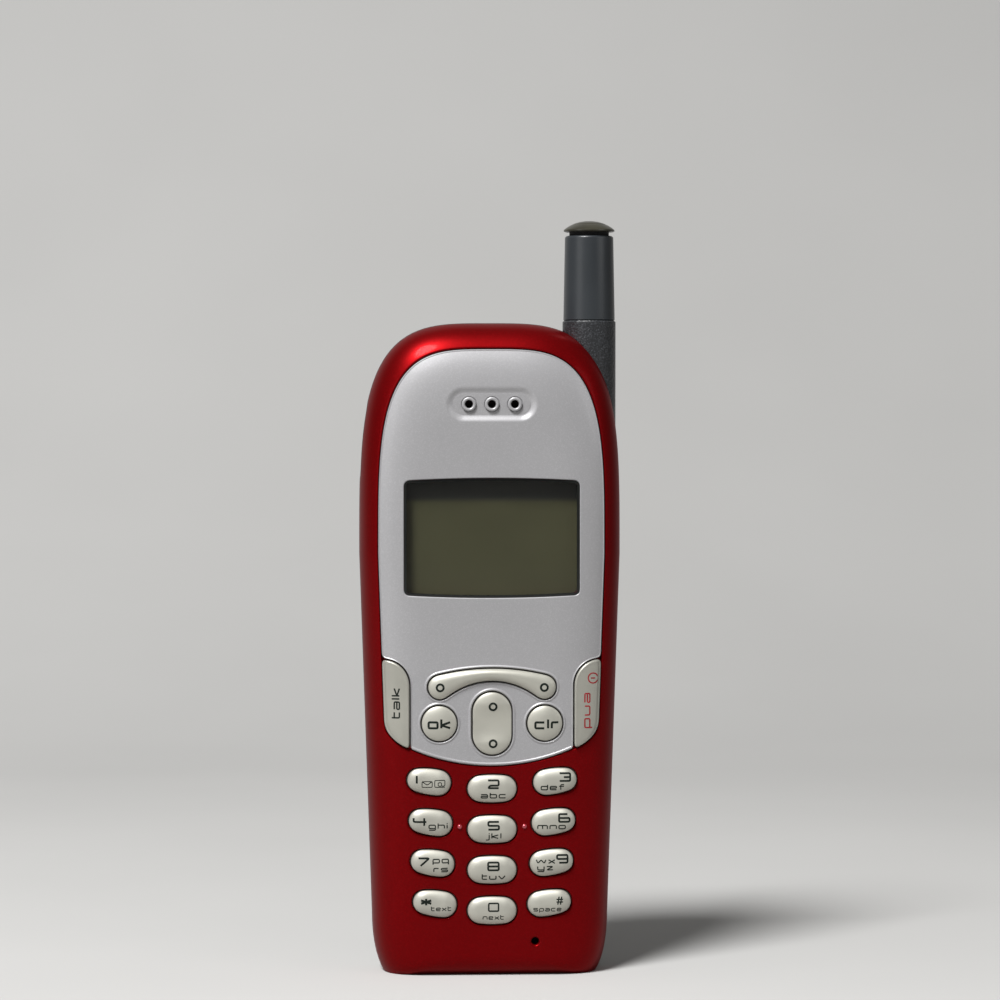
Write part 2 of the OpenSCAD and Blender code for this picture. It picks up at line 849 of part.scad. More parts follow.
// What the jack and its cover take out of the left side of both shells
module jack_space() {
    difference() {
        side_plate(-body_w, 0) jack_cover_outline(slack);
        plate(-front_d, rear_d) polygon(outline(jack_cover_in + jack_cover_t + slack));
    }
    jack_rod(jack_mouth_r, -body_w, jack_block_x);
}

// ---------------------------------------------------------------- shells

module front_cover() {
    color(red) difference() {
        union() {
            difference() {
                front_form(0, 0);
                front_form(wall, face_t, eps);
                block(-keypad_flat_w / 2, keypad_flat_w / 2, face_in_y, 0,
                    keypad_flat_low, display_flat_low + eps);
                block(-display_flat_w / 2, display_flat_w / 2, face_in_y, 0,
                    display_flat_low, display_flat_top);
                rod_y(speaker_r + 2 * slack, face_in_y, 0, 0, ear_z);
                rod_y(boot_r + 2 * slack, face_in_y, 0, mic_x, mic_z);
            }
            intersection() {
                plate(face_in_y - face_t / 2, boss_back_y) screw_places(boss_r);
                front_form(wall, fascia_t + 0.4, front_d);
            }
        }
        difference() {
            plate(-front_d - eps, seam_y) fascia_outline();
            front_form(fascia_t, fascia_t);
        }
        plate(-front_d, lens_y + lens_t) window_outline(slack);
        plate(-front_d, face_in_y + eps) window_outline(-ledge);
        plate(-front_d - eps, mat_y) control_places(key_gap);
        plate(-front_d - eps, mat_y) side_places(key_gap);
        plate(-front_d - eps, mat_y) number_places(key_gap);
        for (i = [-1:1])
            rod_y(ear_hole_r, -front_d, mat_y, i * ear_pitch, ear_z);
        rod_y(mic_hole_r, -front_d, mat_y, mic_x, mic_z);
        plate(screw_tip_y - 1, boss_back_y + eps) screw_places(screw_r + 0.05);
        plate(seam_y - tongue_h - slack, seam_y + eps) difference() {
            polygon(outline(tongue_in - slack, wall / 2));
            polygon(outline(seam_step + wall + eps, wall + eps));
        }
        barrel_space(slack);
        jack_space();
    }
}

module fascia() {
    color(silver) difference() {
        intersection() {
            plate(-front_d - eps, seam_y) fascia_outline(-fascia_gap);
            front_form(0, 0);
        }
        front_form(fascia_t - slack / 2, fascia_t - slack / 2, eps);
        plate(-front_d - eps, seam_y) window_outline(slack);
        plate(-front_d - eps, seam_y) control_places(key_gap);
        difference() {
            plate(-front_d - eps, -front_d + ear_dish_depth)
                translate([0, ear_z]) level_oval(0, ear_dish_w, ear_dish_h);
            for (i = [-1:1])
                rod_y(ear_ring_r, -front_d, seam_y, i * ear_pitch, ear_z);
        }
        for (i = [-1:1])
            rod_y(ear_hole_r, -front_d - eps, seam_y, i * ear_pitch, ear_z);
    }
}

module rear_housing() {
    color(charcoal) difference() {
        union() {
            difference() {
                rear_form(0);
                difference() {
                    rear_form(wall, eps);
                    block(-bay_half_w - bay_wall, bay_half_w + bay_wall, bay_front_y, rear_d,
                        bay_low_z - bay_wall, bay_top_z + bay_wall);
                    block(-latch_room_w / 2 - bay_wall, latch_room_w / 2 + bay_wall,
                        latch_y - bay_wall, rear_d, bay_top_z, latch_room_top + bay_wall);
                    plate(well_y, rear_d) screw_places(well_r + well_wall);
                }
            }
            barrel_space();
            plate(seam_y - tongue_h, seam_y + eps) difference() {
                polygon(outline(tongue_in, wall / 2 + slack));
                polygon(outline(tongue_in + tongue_t, wall / 2 + slack + tongue_t));
            }
        }
        block(-bay_half_w, bay_half_w, bay_floor_y, rear_d + eps, bay_low_z, bay_top_z);
        block(-latch_room_w / 2, latch_room_w / 2, latch_y, rear_d + eps,
            latch_z - latch_gap, latch_room_top);
        block(-latch_tooth_w / 2 - latch_gap, latch_tooth_w / 2 + latch_gap, latch_y,
            latch_y + latch_tooth_t + 2 * latch_gap, bay_top_z - eps, latch_z);
        plate(well_y + screw_seat_t, rear_d + eps) screw_places(well_r);
        plate(boss_back_y, rear_d) screw_places(screw_r + 0.15);
        block(-contact_block_w / 2 - slack, contact_block_w / 2 + slack, bay_front_y - eps, bay_floor_y + eps,
            contact_z - contact_block_h / 2 - slack, contact_z + contact_block_h / 2 + slack);
        block(-socket_w / 2 - socket_skin - slack, socket_w / 2 + socket_skin + slack,
            socket_y - socket_skin - slack, socket_y + socket_d + socket_skin + slack, -eps, wall + eps);
        rod_z(ferrule_r + 0.05, ferrule_low_z, barrel_top_z + eps);
        rod_z(whip_bore_r, barrel_end_z - eps, barrel_top_z);
        block(antenna_x - clip_w / 2 - 0.3, antenna_x + clip_w / 2 + 0.3,
            antenna_y - barrel_r - eps, antenna_y, clip_z - 1, clip_top_z + 1);
        jack_space();
    }
}

// ---------------------------------------------------------------- display and sound

module window_lens() {
    color([0.75, 0.8, 0.8, 0.4]) plate(lens_y, lens_y + lens_t - slack / 2) window_outline();
}

module lens_gasket() {
    color("dimgray") plate(face_in_y, face_in_y + gasket_t) difference() {
        translate([0, window_z]) square([lcd_w, lcd_h], center = true);
        translate([0, window_z]) square([window_w - 2 * ledge, window_h - ledge], center = true);
    }
}

module lcd_glass() {
    color([0.3, 0.3, 0.22]) plate(lcd_y, lcd_y + lcd_t)
        translate([0, window_z]) square([lcd_w, lcd_h], center = true);
}

module light_guide() {
    color([0.9, 0.95, 0.9]) plate(guide_y, guide_y + guide_t)
        translate([0, window_z]) square([lcd_w, lcd_h], center = true);
}

module lcd_frame() {
    color("white") plate(lcd_y, board_y) difference() {
        translate([0, window_z])
            square([lcd_w + 2 * frame_border, lcd_h + 2 * frame_border], center = true);
        translate([0, window_z]) square([lcd_w + slack, lcd_h + slack], center = true);
    }
}

module earpiece_gasket() {
    color("dimgray") plate(face_in_y, face_in_y + gasket_t) difference() {
        translate([0, ear_z]) circle(r = speaker_r);
        translate([0, ear_z]) circle(r = speaker_r - 1);
    }
}

module earpiece_speaker() {
    color(steel) {
        rod_y(speaker_r, face_in_y + gasket_t, face_in_y + gasket_t + speaker_t * 0.6, 0, ear_z);
        rod_y(speaker_r * 0.6, face_in_y + gasket_t, board_y - slack, 0, ear_z);
    }
}

module microphone() {
    color(steel) rod_y(mic_r, mic_y, board_y - slack, mic_x, mic_z);
}

module mic_boot() {
    color("black") difference() {
        rod_y(boot_r, face_in_y + slack, board_y - slack, mic_x, mic_z);
        rod_y(mic_r + 0.05, mic_y - 0.05, board_y, mic_x, mic_z);
        rod_y(mic_hole_r, face_in_y, board_y, mic_x, mic_z);
    }
}

module ringer() {
    color("black") difference() {
        rod_y(ringer_r, part_y, shield_back_y, ringer_x, ringer_z);
        rod_y(1, shield_back_y - 1, shield_back_y + eps, ringer_x, ringer_z);
    }
}

// ---------------------------------------------------------------- keypad and boards

module keypad_mat() {
    color([0.75, 0.75, 0.72]) plate(mat_y, mat_back_y) difference() {
        translate([-mat_w / 2, mat_low_z]) square([mat_w, mat_top_z - mat_low_z]);
        screw_places(boss_r + 0.3);
        translate([mic_x, mic_z]) circle(r = boot_r + 0.3);
        nav_outline(flange_w + 0.3);
        bar_outline(flange_w + 0.3);
        post_places(0.35);
    }
}

module dome_sheet() {
    color(steel) {
        plate(sheet_y, board_y) difference() {
            translate([-mat_w / 2, mat_low_z]) square([mat_w, mat_top_z - mat_low_z]);
            screw_places(boss_r + 0.3);
            translate([mic_x, mic_z]) circle(r = boot_r + 0.3);
        }
        plate(sheet_y - dome_h, sheet_y + sheet_t / 2) post_places(0.8);
    }
}

// The board's four corners are cut away round the screw bosses
module boss_corners() {
    r = boss_r + 0.25;
    for (p = screw_spots)
        translate(p) mirror([p[0] < 0 ? 1 : 0, 0]) mirror([0, p[1] < body_h / 2 ? 1 : 0])
            translate([-r, -r]) square([body_w, body_w]);
}

module main_board() {
    color(board_green) plate(board_y + 0.02, board_back_y) difference() {
        polygon(outline(board_inset, wall + 1));
        boss_corners();
    }
}

// An open can, soldered to the back of the board
module shield_can(x0, x1, z0, z1) {
    sheet = 0.3;
    color(steel) difference() {
        block(x0, x1, part_y, shield_back_y, z0, z1);
        block(x0 + sheet, x1 - sheet, part_y - eps, shield_back_y - sheet, z0 + sheet, z1 - sheet);
    }
}

module rf_shield() {
    shield_can(-rf_shield_w / 2, rf_shield_w / 2, rf_shield_z, rf_shield_z + rf_shield_h);
}

module logic_shield() {
    shield_can(-logic_shield_w / 2, logic_shield_w / 2, logic_shield_z, logic_shield_z + logic_shield_h);
}

module vibration_motor() {
    color(steel) {
        translate([motor_x, motor_y, motor_z]) rotate([0, 90, 0]) cylinder(r = motor_r, h = motor_l);
        block(motor_x + 1, motor_x + motor_l - 1, part_y, motor_y, motor_z - motor_r, motor_z + motor_r);
        translate([motor_x - weight_gap - weight_l, motor_y, motor_z]) rotate([0, 90, 0])
            cylinder(r = shaft_r, h = weight_l + weight_gap + eps);
    }
}

// Half a disc, which hangs below its shaft
module motor_weight() {
    x1 = motor_x - weight_gap;
    color(gold) difference() {
        translate([x1 - weight_l, motor_y, motor_z]) rotate([0, 90, 0]) cylinder(r = weight_r, h = weight_l);
        block(x1 - weight_l - eps, x1 + eps, motor_y - weight_r, motor_y + weight_r,
            motor_z + shaft_r * 2, motor_z + weight_r + eps);
        translate([x1 - weight_l - eps, motor_y, motor_z]) rotate([0, 90, 0])
            cylinder(r = shaft_r + 0.05, h = weight_l + 2 * eps);
    }
}

// ---------------------------------------------------------------- sockets

module headset_jack() {
    color("black") difference() {
        union() {
            jack_rod(jack_nose_r, jack_nose_x, jack_block_x + eps);
            block(jack_block_x, jack_nose_x + jack_l + 1, part_y, jack_y + jack_half,
                jack_z - jack_half, jack_z + jack_half);
        }
        jack_rod(plug_r + 0.05, jack_nose_x - eps, jack_nose_x + jack_l);
    }
}

module jack_cover() {
    color("dimgray") intersection() {
        side_plate(-body_w, 0) jack_cover_outline();
        plate(jack_y - jack_cover_w, jack_y + jack_cover_w) difference() {
            polygon(outline(jack_cover_in));
            polygon(outline(jack_cover_in + jack_cover_t));
        }
    }
}

module system_connector() {
    half_w = socket_w / 2;
    color("black") difference() {
        union() {
            block(-half_w - socket_skin, half_w + socket_skin, socket_y - socket_skin,
                socket_y + socket_d + socket_skin, slack, socket_l + socket_back);
            block(-half_w - socket_skin, half_w + socket_skin, part_y, socket_y,
                wall + 1, socket_l + socket_back);
        }
        block(-half_w, half_w, socket_y, socket_y + socket_d, -eps, socket_l);
    }
}

// ---------------------------------------------------------------- antenna

module antenna_ferrule() {
    color(steel) difference() {
        union() {
            rod_z(ferrule_r, ferrule_low_z, barrel_top_z);
            rod_z(ferrule_neck_r, barrel_top_z - eps, barrel_top_z + neck_l);
        }
        rod_z(ferrule_bore_r, ferrule_low_z - eps, barrel_top_z + neck_l + eps);
    }
}

module antenna_sleeve() {
    color(charcoal) difference() {
        union() {
            rod_z(barrel_r - 0.05, barrel_top_z, sleeve_top_z - sleeve_chamfer, sleeve_top_r);
            rod_z(sleeve_top_r, sleeve_top_z - sleeve_chamfer - eps / 10, sleeve_top_z,
                sleeve_top_r - sleeve_chamfer);
        }
        difference() {
            rod_z(sleeve_top_r - sleeve_wall, barrel_top_z - eps, sleeve_top_z - sleeve_wall);
            rod_z(former_r, barrel_top_z - 2 * eps, sleeve_top_z);
        }
        rod_z(ferrule_neck_r + 0.05, barrel_top_z - eps, barrel_top_z + neck_l + slack);
        rod_z(whip_r + 0.2, barrel_top_z - eps, sleeve_top_z + eps);
    }
}

module antenna_coil() {
    color("peru") translate([antenna_x, antenna_y, barrel_top_z + coil_wire_r + slack])
        helix_wire(coil_r, coil_wire_r, coil_turns, sleeve_l - sleeve_wall - 2 * coil_wire_r - 3 * slack);
}

// A spring finger from the board to the ferrule
module antenna_clip() {
    finger_y = antenna_y - ferrule_r - 0.05;
    color(gold) {
        block(antenna_x - clip_w, antenna_x, part_y, part_y + clip_t, clip_z, clip_z + clip_foot);
        block(antenna_x - clip_w / 2, antenna_x + clip_w / 2, part_y, finger_y,
            clip_z + clip_foot - clip_t, clip_z + clip_foot);
        block(antenna_x - clip_w / 2, antenna_x + clip_w / 2, finger_y - clip_t, finger_y,
            clip_z + clip_foot - clip_t, clip_top_z);
    }
}

module antenna_cap() {
    dome_r = (cap_r * cap_r + cap_h * cap_h) / (2 * cap_h);
    color([0.25, 0.24, 0.21]) translate([antenna_x, antenna_y, 0]) difference() {
        union() {
            intersection() {
                translate([0, 0, cap_z + cap_h - dome_r]) sphere(r = dome_r, $fn = 96);
                translate([0, 0, cap_z]) cylinder(r = cap_r - 0.05, h = cap_h + eps);
            }
            translate([0, 0, sleeve_top_z + slack]) cylinder(r = cap_neck_r, h = cap_gap);
        }
        translate([0, 0, sleeve_top_z]) cylinder(r = whip_r + 0.02, h = cap_gap + 1);
    }
}

module antenna_whip() {
    color(steel) rod_z(whip_r, stop_top_z - stop_l, cap_z + 0.9);
}

module whip_stop() {
    color(gold) difference() {
        rod_z(stop_r, stop_top_z - stop_l, stop_top_z);
        rod_z(whip_r + 0.02, stop_top_z - stop_l - eps, stop_top_z + eps);
    }
}

// ---------------------------------------------------------------- battery

module battery_shell() {
    inner_w = pack_w / 2 - pack_wall;
    color(charcoal) difference() {
        intersection() {
            rear_form(0);
            block(-pack_w / 2, pack_w / 2, pack_y, rear_d + eps, pack_low_z, pack_top_z);
        }
        intersection() {
            rear_form(pack_wall);
            block(-inner_w, inner_w, pack_y - eps, rear_d, pack_low_z + pack_wall, pack_top_z - pack_wall);
        }
    }
}

module battery_plate() {
    half_w = pack_w / 2 - pack_wall - slack / 2;
    color("dimgray") difference() {
        block(-half_w, half_w, pack_y, pack_y + plate_t,
            pack_low_z + pack_wall + slack / 2, pack_top_z - pack_wall - slack / 2);
        contact_row(pad_w, pad_w * 1.5, pack_y - eps, pack_y + pad_t);
    }
}

// The pack's own contact pads, let into its inner face
module pack_contacts() {
    color(gold) contact_row(pad_w - slack, pad_w * 1.5 - slack, pack_y + 0.02, pack_y + pad_t - 0.02);
}

module contact_row(w, h, y0, y1) {
    for (i = [0:contact_count - 1])
        translate([(i - (contact_count - 1) / 2) * contact_pitch, 0, contact_z])
            block(-w / 2, w / 2, y0, y1, -h / 2, h / 2);
}

module battery_cell() {
    middle_z = (pack_low_z + pack_top_z) / 2;
    cell_y = pack_y + plate_t + slack;
    color("steelblue") {
        block(-cell_w / 2, cell_w / 2, cell_y, cell_y + cell_t,
            middle_z - cell_h / 2 + cell_t / 2, middle_z + cell_h / 2 - cell_t / 2);
        for (side = [-1, 1])
            translate([-cell_w / 2, cell_y + cell_t / 2, middle_z + side * (cell_h - cell_t) / 2])
                rotate([0, 90, 0]) cylinder(r = cell_t / 2, h = cell_w);
    }
}

// A block on the board with sprung blades that reach the pack's pads
module battery_contacts() {
    color(gold) {
        contact_row(contact_w, contact_block_h - 1, bay_floor_y - 1.2, pack_y - 0.02);
        block(-contact_block_w / 2, contact_block_w / 2, part_y, bay_floor_y - 1,
            contact_z - contact_block_h / 2, contact_z + contact_block_h / 2);
    }
}

module battery_latch() {
    half_w = latch_w / 2;
    color(charcoal) difference() {
        union() {
            block(-half_w, half_w, latch_y + latch_gap, latch_out_y, latch_z, latch_z + latch_h);
            block(-latch_tooth_w / 2, latch_tooth_w / 2, latch_y + latch_gap,
                latch_y + latch_gap + latch_tooth_t, pack_top_z + latch_gap + pack_gap, latch_z + eps);
        }
        translate([0, spring_y, latch_z + latch_h - spring_seat])
            cylinder(r = spring_room_r, h = spring_seat + eps);
        for (i = [0:2])
            block(-half_w + 1.5, half_w - 1.5, latch_out_y - 0.35, latch_out_y + eps,
                latch_z + 1.2 + i * 1.5, latch_z + 1.8 + i * 1.5);
    }
}

module latch_spring() {
    low = latch_z + latch_h - spring_seat + spring_wire_r + 0.05;
    color(steel) translate([0, spring_y, low])
        helix_wire(spring_r, spring_wire_r, spring_turns, latch_room_top - spring_wire_r - 0.05 - low);
}

// ---------------------------------------------------------------- fasteners

module screws() {
    head_y = well_y + screw_seat_t;
    color(steel) for (p = screw_spots) difference() {
        union() {
            rod_y(screw_head_r, head_y, head_y + screw_head_t, p[0], p[1]);
            rod_y(screw_r, screw_tip_y, head_y + eps, p[0], p[1]);
        }
        for (turn = [0, 90])
            translate([p[0], head_y + screw_head_t, p[1]]) rotate([0, turn, 0])
                cube([screw_head_r * 1.2, 1, 0.35], center = true);
    }
}

// ---------------------------------------------------------------- the assembly

front_cover();
fascia();
window_lens();
lens_gasket();
lcd_frame();
lcd_glass();
light_guide();
earpiece_speaker();
earpiece_gasket();
microphone();
mic_boot();
keypad_mat();
dome_sheet();
main_board();
rf_shield();
logic_shield();
ringer();
vibration_motor();
motor_weight();
headset_jack();
jack_cover();
system_connector();
rear_housing();
antenna_ferrule();
antenna_sleeve();
antenna_coil();
antenna_clip();
antenna_cap();
antenna_whip();
whip_stop();
battery_shell();
battery_plate();
pack_contacts();
battery_cell();
battery_contacts();
battery_latch();
latch_spring();
screws();
number_key(-1, 3);  // key_1
number_key(0, 3);  // key_2
number_key(1, 3);  // key_3
number_key(-1, 2);  // key_4
number_key(0, 2);  // key_5
number_key(1, 2);  // key_6
number_key(-1, 1);  // key_7
number_key(0, 1);  // key_8
number_key(1, 1);  // key_9
number_key(-1, 0);  // key_star
number_key(0, 0);  // key_0
number_key(1, 0);  // key_hash
talk_key();
end_key();
round_key(-1);  // ok_key
round_key(1);  // clear_key
nav_key();
soft_key_bar();
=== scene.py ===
"""A bar phone with a keypad, a display window and a pull-out whip antenna, dressed for rendering.

Lengths below are in millimetres unless a name says otherwise; meshes are in metres.
X runs to the right of the phone's front, Y to its back and Z up. The base stands at Z = 0.
"""
import json
import math

import bpy
import numpy as np
from bpy.props import FloatProperty, FloatVectorProperty, PointerProperty
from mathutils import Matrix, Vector
from mathutils.bvhtree import BVHTree


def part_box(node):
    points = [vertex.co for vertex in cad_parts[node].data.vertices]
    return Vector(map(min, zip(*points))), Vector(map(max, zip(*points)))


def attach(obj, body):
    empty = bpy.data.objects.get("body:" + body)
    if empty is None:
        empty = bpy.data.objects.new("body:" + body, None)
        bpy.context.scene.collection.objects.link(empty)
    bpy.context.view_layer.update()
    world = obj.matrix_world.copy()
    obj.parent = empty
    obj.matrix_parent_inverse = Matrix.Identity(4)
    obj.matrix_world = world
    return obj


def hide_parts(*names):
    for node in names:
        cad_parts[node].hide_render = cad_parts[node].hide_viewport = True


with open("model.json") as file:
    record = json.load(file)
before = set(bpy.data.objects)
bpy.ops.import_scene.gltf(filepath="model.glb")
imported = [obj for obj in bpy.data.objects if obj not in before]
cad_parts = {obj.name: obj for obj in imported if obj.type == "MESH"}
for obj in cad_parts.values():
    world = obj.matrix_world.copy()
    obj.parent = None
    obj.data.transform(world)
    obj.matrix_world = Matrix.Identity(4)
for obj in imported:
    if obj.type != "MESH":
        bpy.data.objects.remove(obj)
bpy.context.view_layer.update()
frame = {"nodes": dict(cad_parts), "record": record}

bl_info = {
    "name": "Bar phone",
    "version": (1, 0, 0),
    "blender": (4, 5, 0),
    "location": "View3D > Sidebar > Phone",
    "description": "Models and finishes the pieces of a bar phone",
    "category": "Object",
}

MM = 0.001


# ------------------------------------------------------------------ sizes taken from the frame

def frame_box(node):
    """Lowest and highest corner of a CAD node, in millimetres."""
    low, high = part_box(node)
    return np.array(low) / MM, np.array(high) / MM


HALF_W = -frame_box("rear_housing")[0][0]
FRONT_Y = frame_box("front_cover")[0][1]
REAR_Y = frame_box("battery_shell")[1][1]
ANTENNA_X, ANTENNA_Y = (sum(frame_box("antenna_whip")) / 2)[:2]
BARREL_TOP = frame_box("rear_housing")[1][2]
SLEEVE_TOP = frame_box("antenna_sleeve")[1][2]
CAP_TOP = frame_box("antenna_cap")[1][2]
KEY_TOP = frame_box("key_5")[0][1]

# Outline of the casing: straight sides, a superellipse arch and quarter-ellipse foot corners
BODY_H = 124.0
FOOT_HALF_W = HALF_W - 2.35
SHOULDER_Z = BODY_H - 44
ARCH_POWER = 3.65
TOP_LEAN = 1.45
BASE_DROP = 1.2
BASE_RISE = 0.5
CORNER_W = 3.75
CORNER_H = 12.0

# Rounding of the two faces, measured inwards from the outline
SEAM_Y = -1.0
SEAM_STEP = 0.05
SEAM_BEVEL = 0.1
FRONT_ROUND = 14.0
FRONT_POWER = 3.0
REAR_ROUND = 16.0
REAR_POWER = 2.6
WALL = 1.6
FACE_T = 2.0

# Where the cuts through the front start, clear of the face
OUT_Y = FRONT_Y - 1

# Fascia and what passes through it
FASCIA_S = 3.52
FASCIA_GAP = 0.12
FASCIA_T = 0.75
CONTROL_Z = 48.1
FASCIA_ARC_Z = 78.5
FASCIA_ARC_R = 38.6
KEY_GAP = 0.22
WINDOW_Z = BODY_H - 40.8
WINDOW_HALF_W = 16.6
WINDOW_HALF_H = 10.8
WINDOW_BOW = 0.5
WINDOW_CORNER_R = 0.95
EAR_Z = BODY_H - 15.5
EAR_HOLES_X = (-4.35, 0.0, 4.35)
EAR_HOLE_R = 0.75
EAR_RIM = 0.62
EAR_GROOVE = 0.16

# Number keys
MIDDLE_KEY_W = 9.34
MIDDLE_KEY_H = 5.0
PAD_Z = 12.55
ROW_PITCH = 7.72
COLUMN_PITCH = 11.93
COLUMN_TAPER = 0.29
COLUMN_LIFT = 1.4
SIDE_KEY_TILT = 8.0
KEY_BULGE = 0.12

# Controls
ROUND_KEY_X = 10.0
ROUND_KEY_R = 3.3
NAV_W = 7.3
NAV_H = 11.8
BAR_Z = CONTROL_Z + 6.85
BAR_X = 9.85
BAR_END_R = 2.32
BAR_RISE = 3.5
BAR_MIDDLE_T = 2.25
SIDE_EDGE_X = 15.65
SIDE_TOP_Z = CONTROL_Z + 12
SIDE_TOP_R = 4.8
SIDE_LOW_X = 13.1
SIDE_LOW_Z = CONTROL_Z + 2.9
SIDE_LOW_R = 8.1
SIDE_MEET = 33.0

# Backs of the keys: their flanges, and the feet of their posts
FLANGE_Y = FRONT_Y + FACE_T + 0.1
KEY_FOOT_Y = frame_box("key_5")[1][1]
ROCKER_FOOT_Y = frame_box("nav_key")[1][1]
POST_R = 1.1

# Printed signs: half the ink's thickness, the strokes' corners, and the space between two signs
# in units of their grid
INK = 0.018
STROKE_ROUND = 0.22
SIGN_GAP = 1.7

# Antenna
BARREL_R = 5.1
BARREL_FOOT_R = 3.6
BARREL_LENGTH = 38.5
BARREL_STRAIGHT = 27.5
CAP_DROP = 0.35
CAP_RIM_Z = SLEEVE_TOP + 0.75 - CAP_DROP

# Jack cover
JACK_Z = BODY_H - 22.5
JACK_REACH = 4.95
JACK_R = 2.8
JACK_INNER_X = -16

# Stage
CAMERA_PLACE = (-30.1, -662.0, 110.1)
CAMERA_AIM = (1.5, -12.0, 90.4)
STAGE_COLOUR = (0.53, 0.526, 0.515, 1)
STAGE_BOUNCE = 0.3

# How finely curves are divided: the length of a step, and the steps of a turned piece
CURVE_STEP = 0.3
TURNED_STEPS = 96


# ------------------------------------------------------------------ curves in the plane of the face

def resampled(points, count, closed=False):
    """The polyline's points spread evenly along it; an open one leaves out its last point."""
    points = np.asarray(points, float)
    if closed:
        points = np.vstack([points, points[:1]])
    along = np.r_[0, np.cumsum(np.linalg.norm(np.diff(points, axis=0), axis=1))]
    places = np.linspace(0, along[-1], count, endpoint=False)
    return np.c_[np.interp(places, along, points[:, 0]), np.interp(places, along, points[:, 1])]


def arc(x, z, radius, start, end, count=48):
    """Points of an arc, its angles in degrees from +X."""
    angle = np.radians(np.linspace(start, end, count))
    return np.c_[x + radius * np.cos(angle), z + radius * np.sin(angle)]


class Outline:
    """A closed curve in X and Z, anticlockwise, that can be grown along its own normals."""

    def __init__(self, points, soften=0, step=CURVE_STEP):
        points = np.vstack(points)
        length = np.linalg.norm(np.diff(points, axis=0), axis=1).sum()
        points = resampled(points, int(length / step), closed=True)
        for _ in range(soften):
            points = (np.roll(points, 1, 0) + 2 * points + np.roll(points, -1, 0)) / 4
        along = np.roll(points, -1, 0) - np.roll(points, 1, 0)
        along /= np.linalg.norm(along, axis=1)[:, None]
        self.points = points
        self.normals = np.c_[along[:, 1], -along[:, 0]]

    def grown(self, distance):
        return self.points + distance * self.normals

    def widened(self, distance):
        self.points = self.grown(distance)
        return self

    def moved(self, x, z):
        self.points = self.points + np.array([x, z])
        return self

    def mirrored(self):
        self.points = (self.points * [-1, 1])[::-1]
        self.normals = (self.normals * [-1, 1])[::-1]
        return self


def both_sides(right):
    """A closed curve from its right half, which runs from the bottom to the top."""
    return [right, (right * [-1, 1])[::-1]]


def casing_outline(s, floor=0.0):
    """The casing's outline s inside its widest line, cut flat at the height floor."""
    w, f = HALF_W - s, FOOT_HALF_W - s
    low, high = BASE_RISE * s - BASE_DROP, BODY_H - TOP_LEAN * s
    first = math.acos(1 - (floor - low) / CORNER_H) if low < floor else 0.0
    a = np.linspace(first, math.pi / 2, 60)
    corner = np.c_[f - CORNER_W + CORNER_W * np.sin(a), low + CORNER_H * (1 - np.cos(a))]
    a = np.linspace(0, math.pi / 2, 2000)
    power = 2 / ARCH_POWER
    arch = np.c_[w * np.cos(a) ** power, SHOULDER_Z + (high - SHOULDER_Z) * np.sin(a) ** power]
    base = np.array([[0, corner[0][1]], corner[0]])
    side = np.array([corner[-1], arch[0]])
    stretches = ((base, 6), (corner, 10), (side, 28), (arch, 48))
    right = np.vstack([resampled(points, count) for points, count in stretches])
    return np.vstack([right, [[0, high]], (right[1:] * [-1, 1])[::-1]])


def line_at(s, low, high):
    """The right side of the casing's outline between two heights, upwards."""
    points = casing_outline(s)
    half = points[:len(points) // 2 + 1]
    return half[(half[:, 1] >= low) & (half[:, 1] <= high) & (half[:, 0] >= 0)]


def side_x(s, z):
    """The half width of the casing's outline at a height on its straight side."""
    low = BASE_RISE * s - BASE_DROP + CORNER_H
    return FOOT_HALF_W - s + (HALF_W - FOOT_HALF_W) * (z - low) / (SHOULDER_Z - low)


def inset_at(points):
    """How far points lie inside the casing's widest line, found by halving."""
    x, z = np.abs(points[:, 0]), points[:, 1]
    near, far = np.zeros(len(x)), np.full(len(x), 22.0)
    for _ in range(26):
        s = (near + far) / 2
        w, f = HALF_W - s, FOOT_HALF_W - s
        low, high = BASE_RISE * s - BASE_DROP, BODY_H - TOP_LEAN * s
        top = low + CORNER_H
        fall = np.clip(1 - (z - low) / CORNER_H, 0, 1)
        corner = np.where(z < low, -1, f - CORNER_W + CORNER_W * np.sqrt(1 - fall ** 2))
        side = f + (w - f) * (z - top) / (SHOULDER_Z - top)
        rise = np.clip((z - SHOULDER_Z) / (high - SHOULDER_Z), 0, 1)
        arch = np.where(z > high, -1, w * (1 - rise ** ARCH_POWER) ** (1 / ARCH_POWER))
        inside = x <= np.where(z < top, corner, np.where(z < SHOULDER_Z, side, arch))
        near, far = np.where(inside, s, near), np.where(inside, far, s)
    return near


def face_y(points):
    """The front face's Y at points in X and Z."""
    reach = np.clip((SEAM_STEP + FRONT_ROUND - inset_at(points)) / FRONT_ROUND, 0, 1)
    return SEAM_Y + (FRONT_Y - SEAM_Y) * (1 - reach ** FRONT_POWER) ** (1 / FRONT_POWER)


# ------------------------------------------------------------------ outlines of the pieces

def bowed(start, end, bulge):
    """Points between two others, swollen to the right of their line."""
    start, end = np.array(start, float), np.array(end, float)
    t = np.linspace(0, 1, 24)[1:-1, None]
    along = end - start
    side = np.array([along[1], -along[0]]) / np.linalg.norm(along)
    return start + along * t + side * bulge * 4 * t * (1 - t)


def oval(width, height, bulge=0.0, soften=0):
    """A level oval with round ends, its long sides straight or swollen."""
    reach, r = (width - height) / 2, height / 2
    return Outline([arc(reach, 0, r, -90, 90), bowed((reach, r), (-reach, r), bulge),
                    arc(-reach, 0, r, 90, 270), bowed((-reach, -r), (reach, -r), bulge)], soften)


def disc(x, z, r, count, step=0.12):
    return Outline([arc(0, 0, r, 0, 360, count)[:-1]], step=step).moved(x, z)


def upright_oval(width, height):
    shape = oval(height, width)
    shape.points = shape.points[:, ::-1] * [-1, 1]
    shape.normals = shape.normals[:, ::-1] * [-1, 1]
    return shape


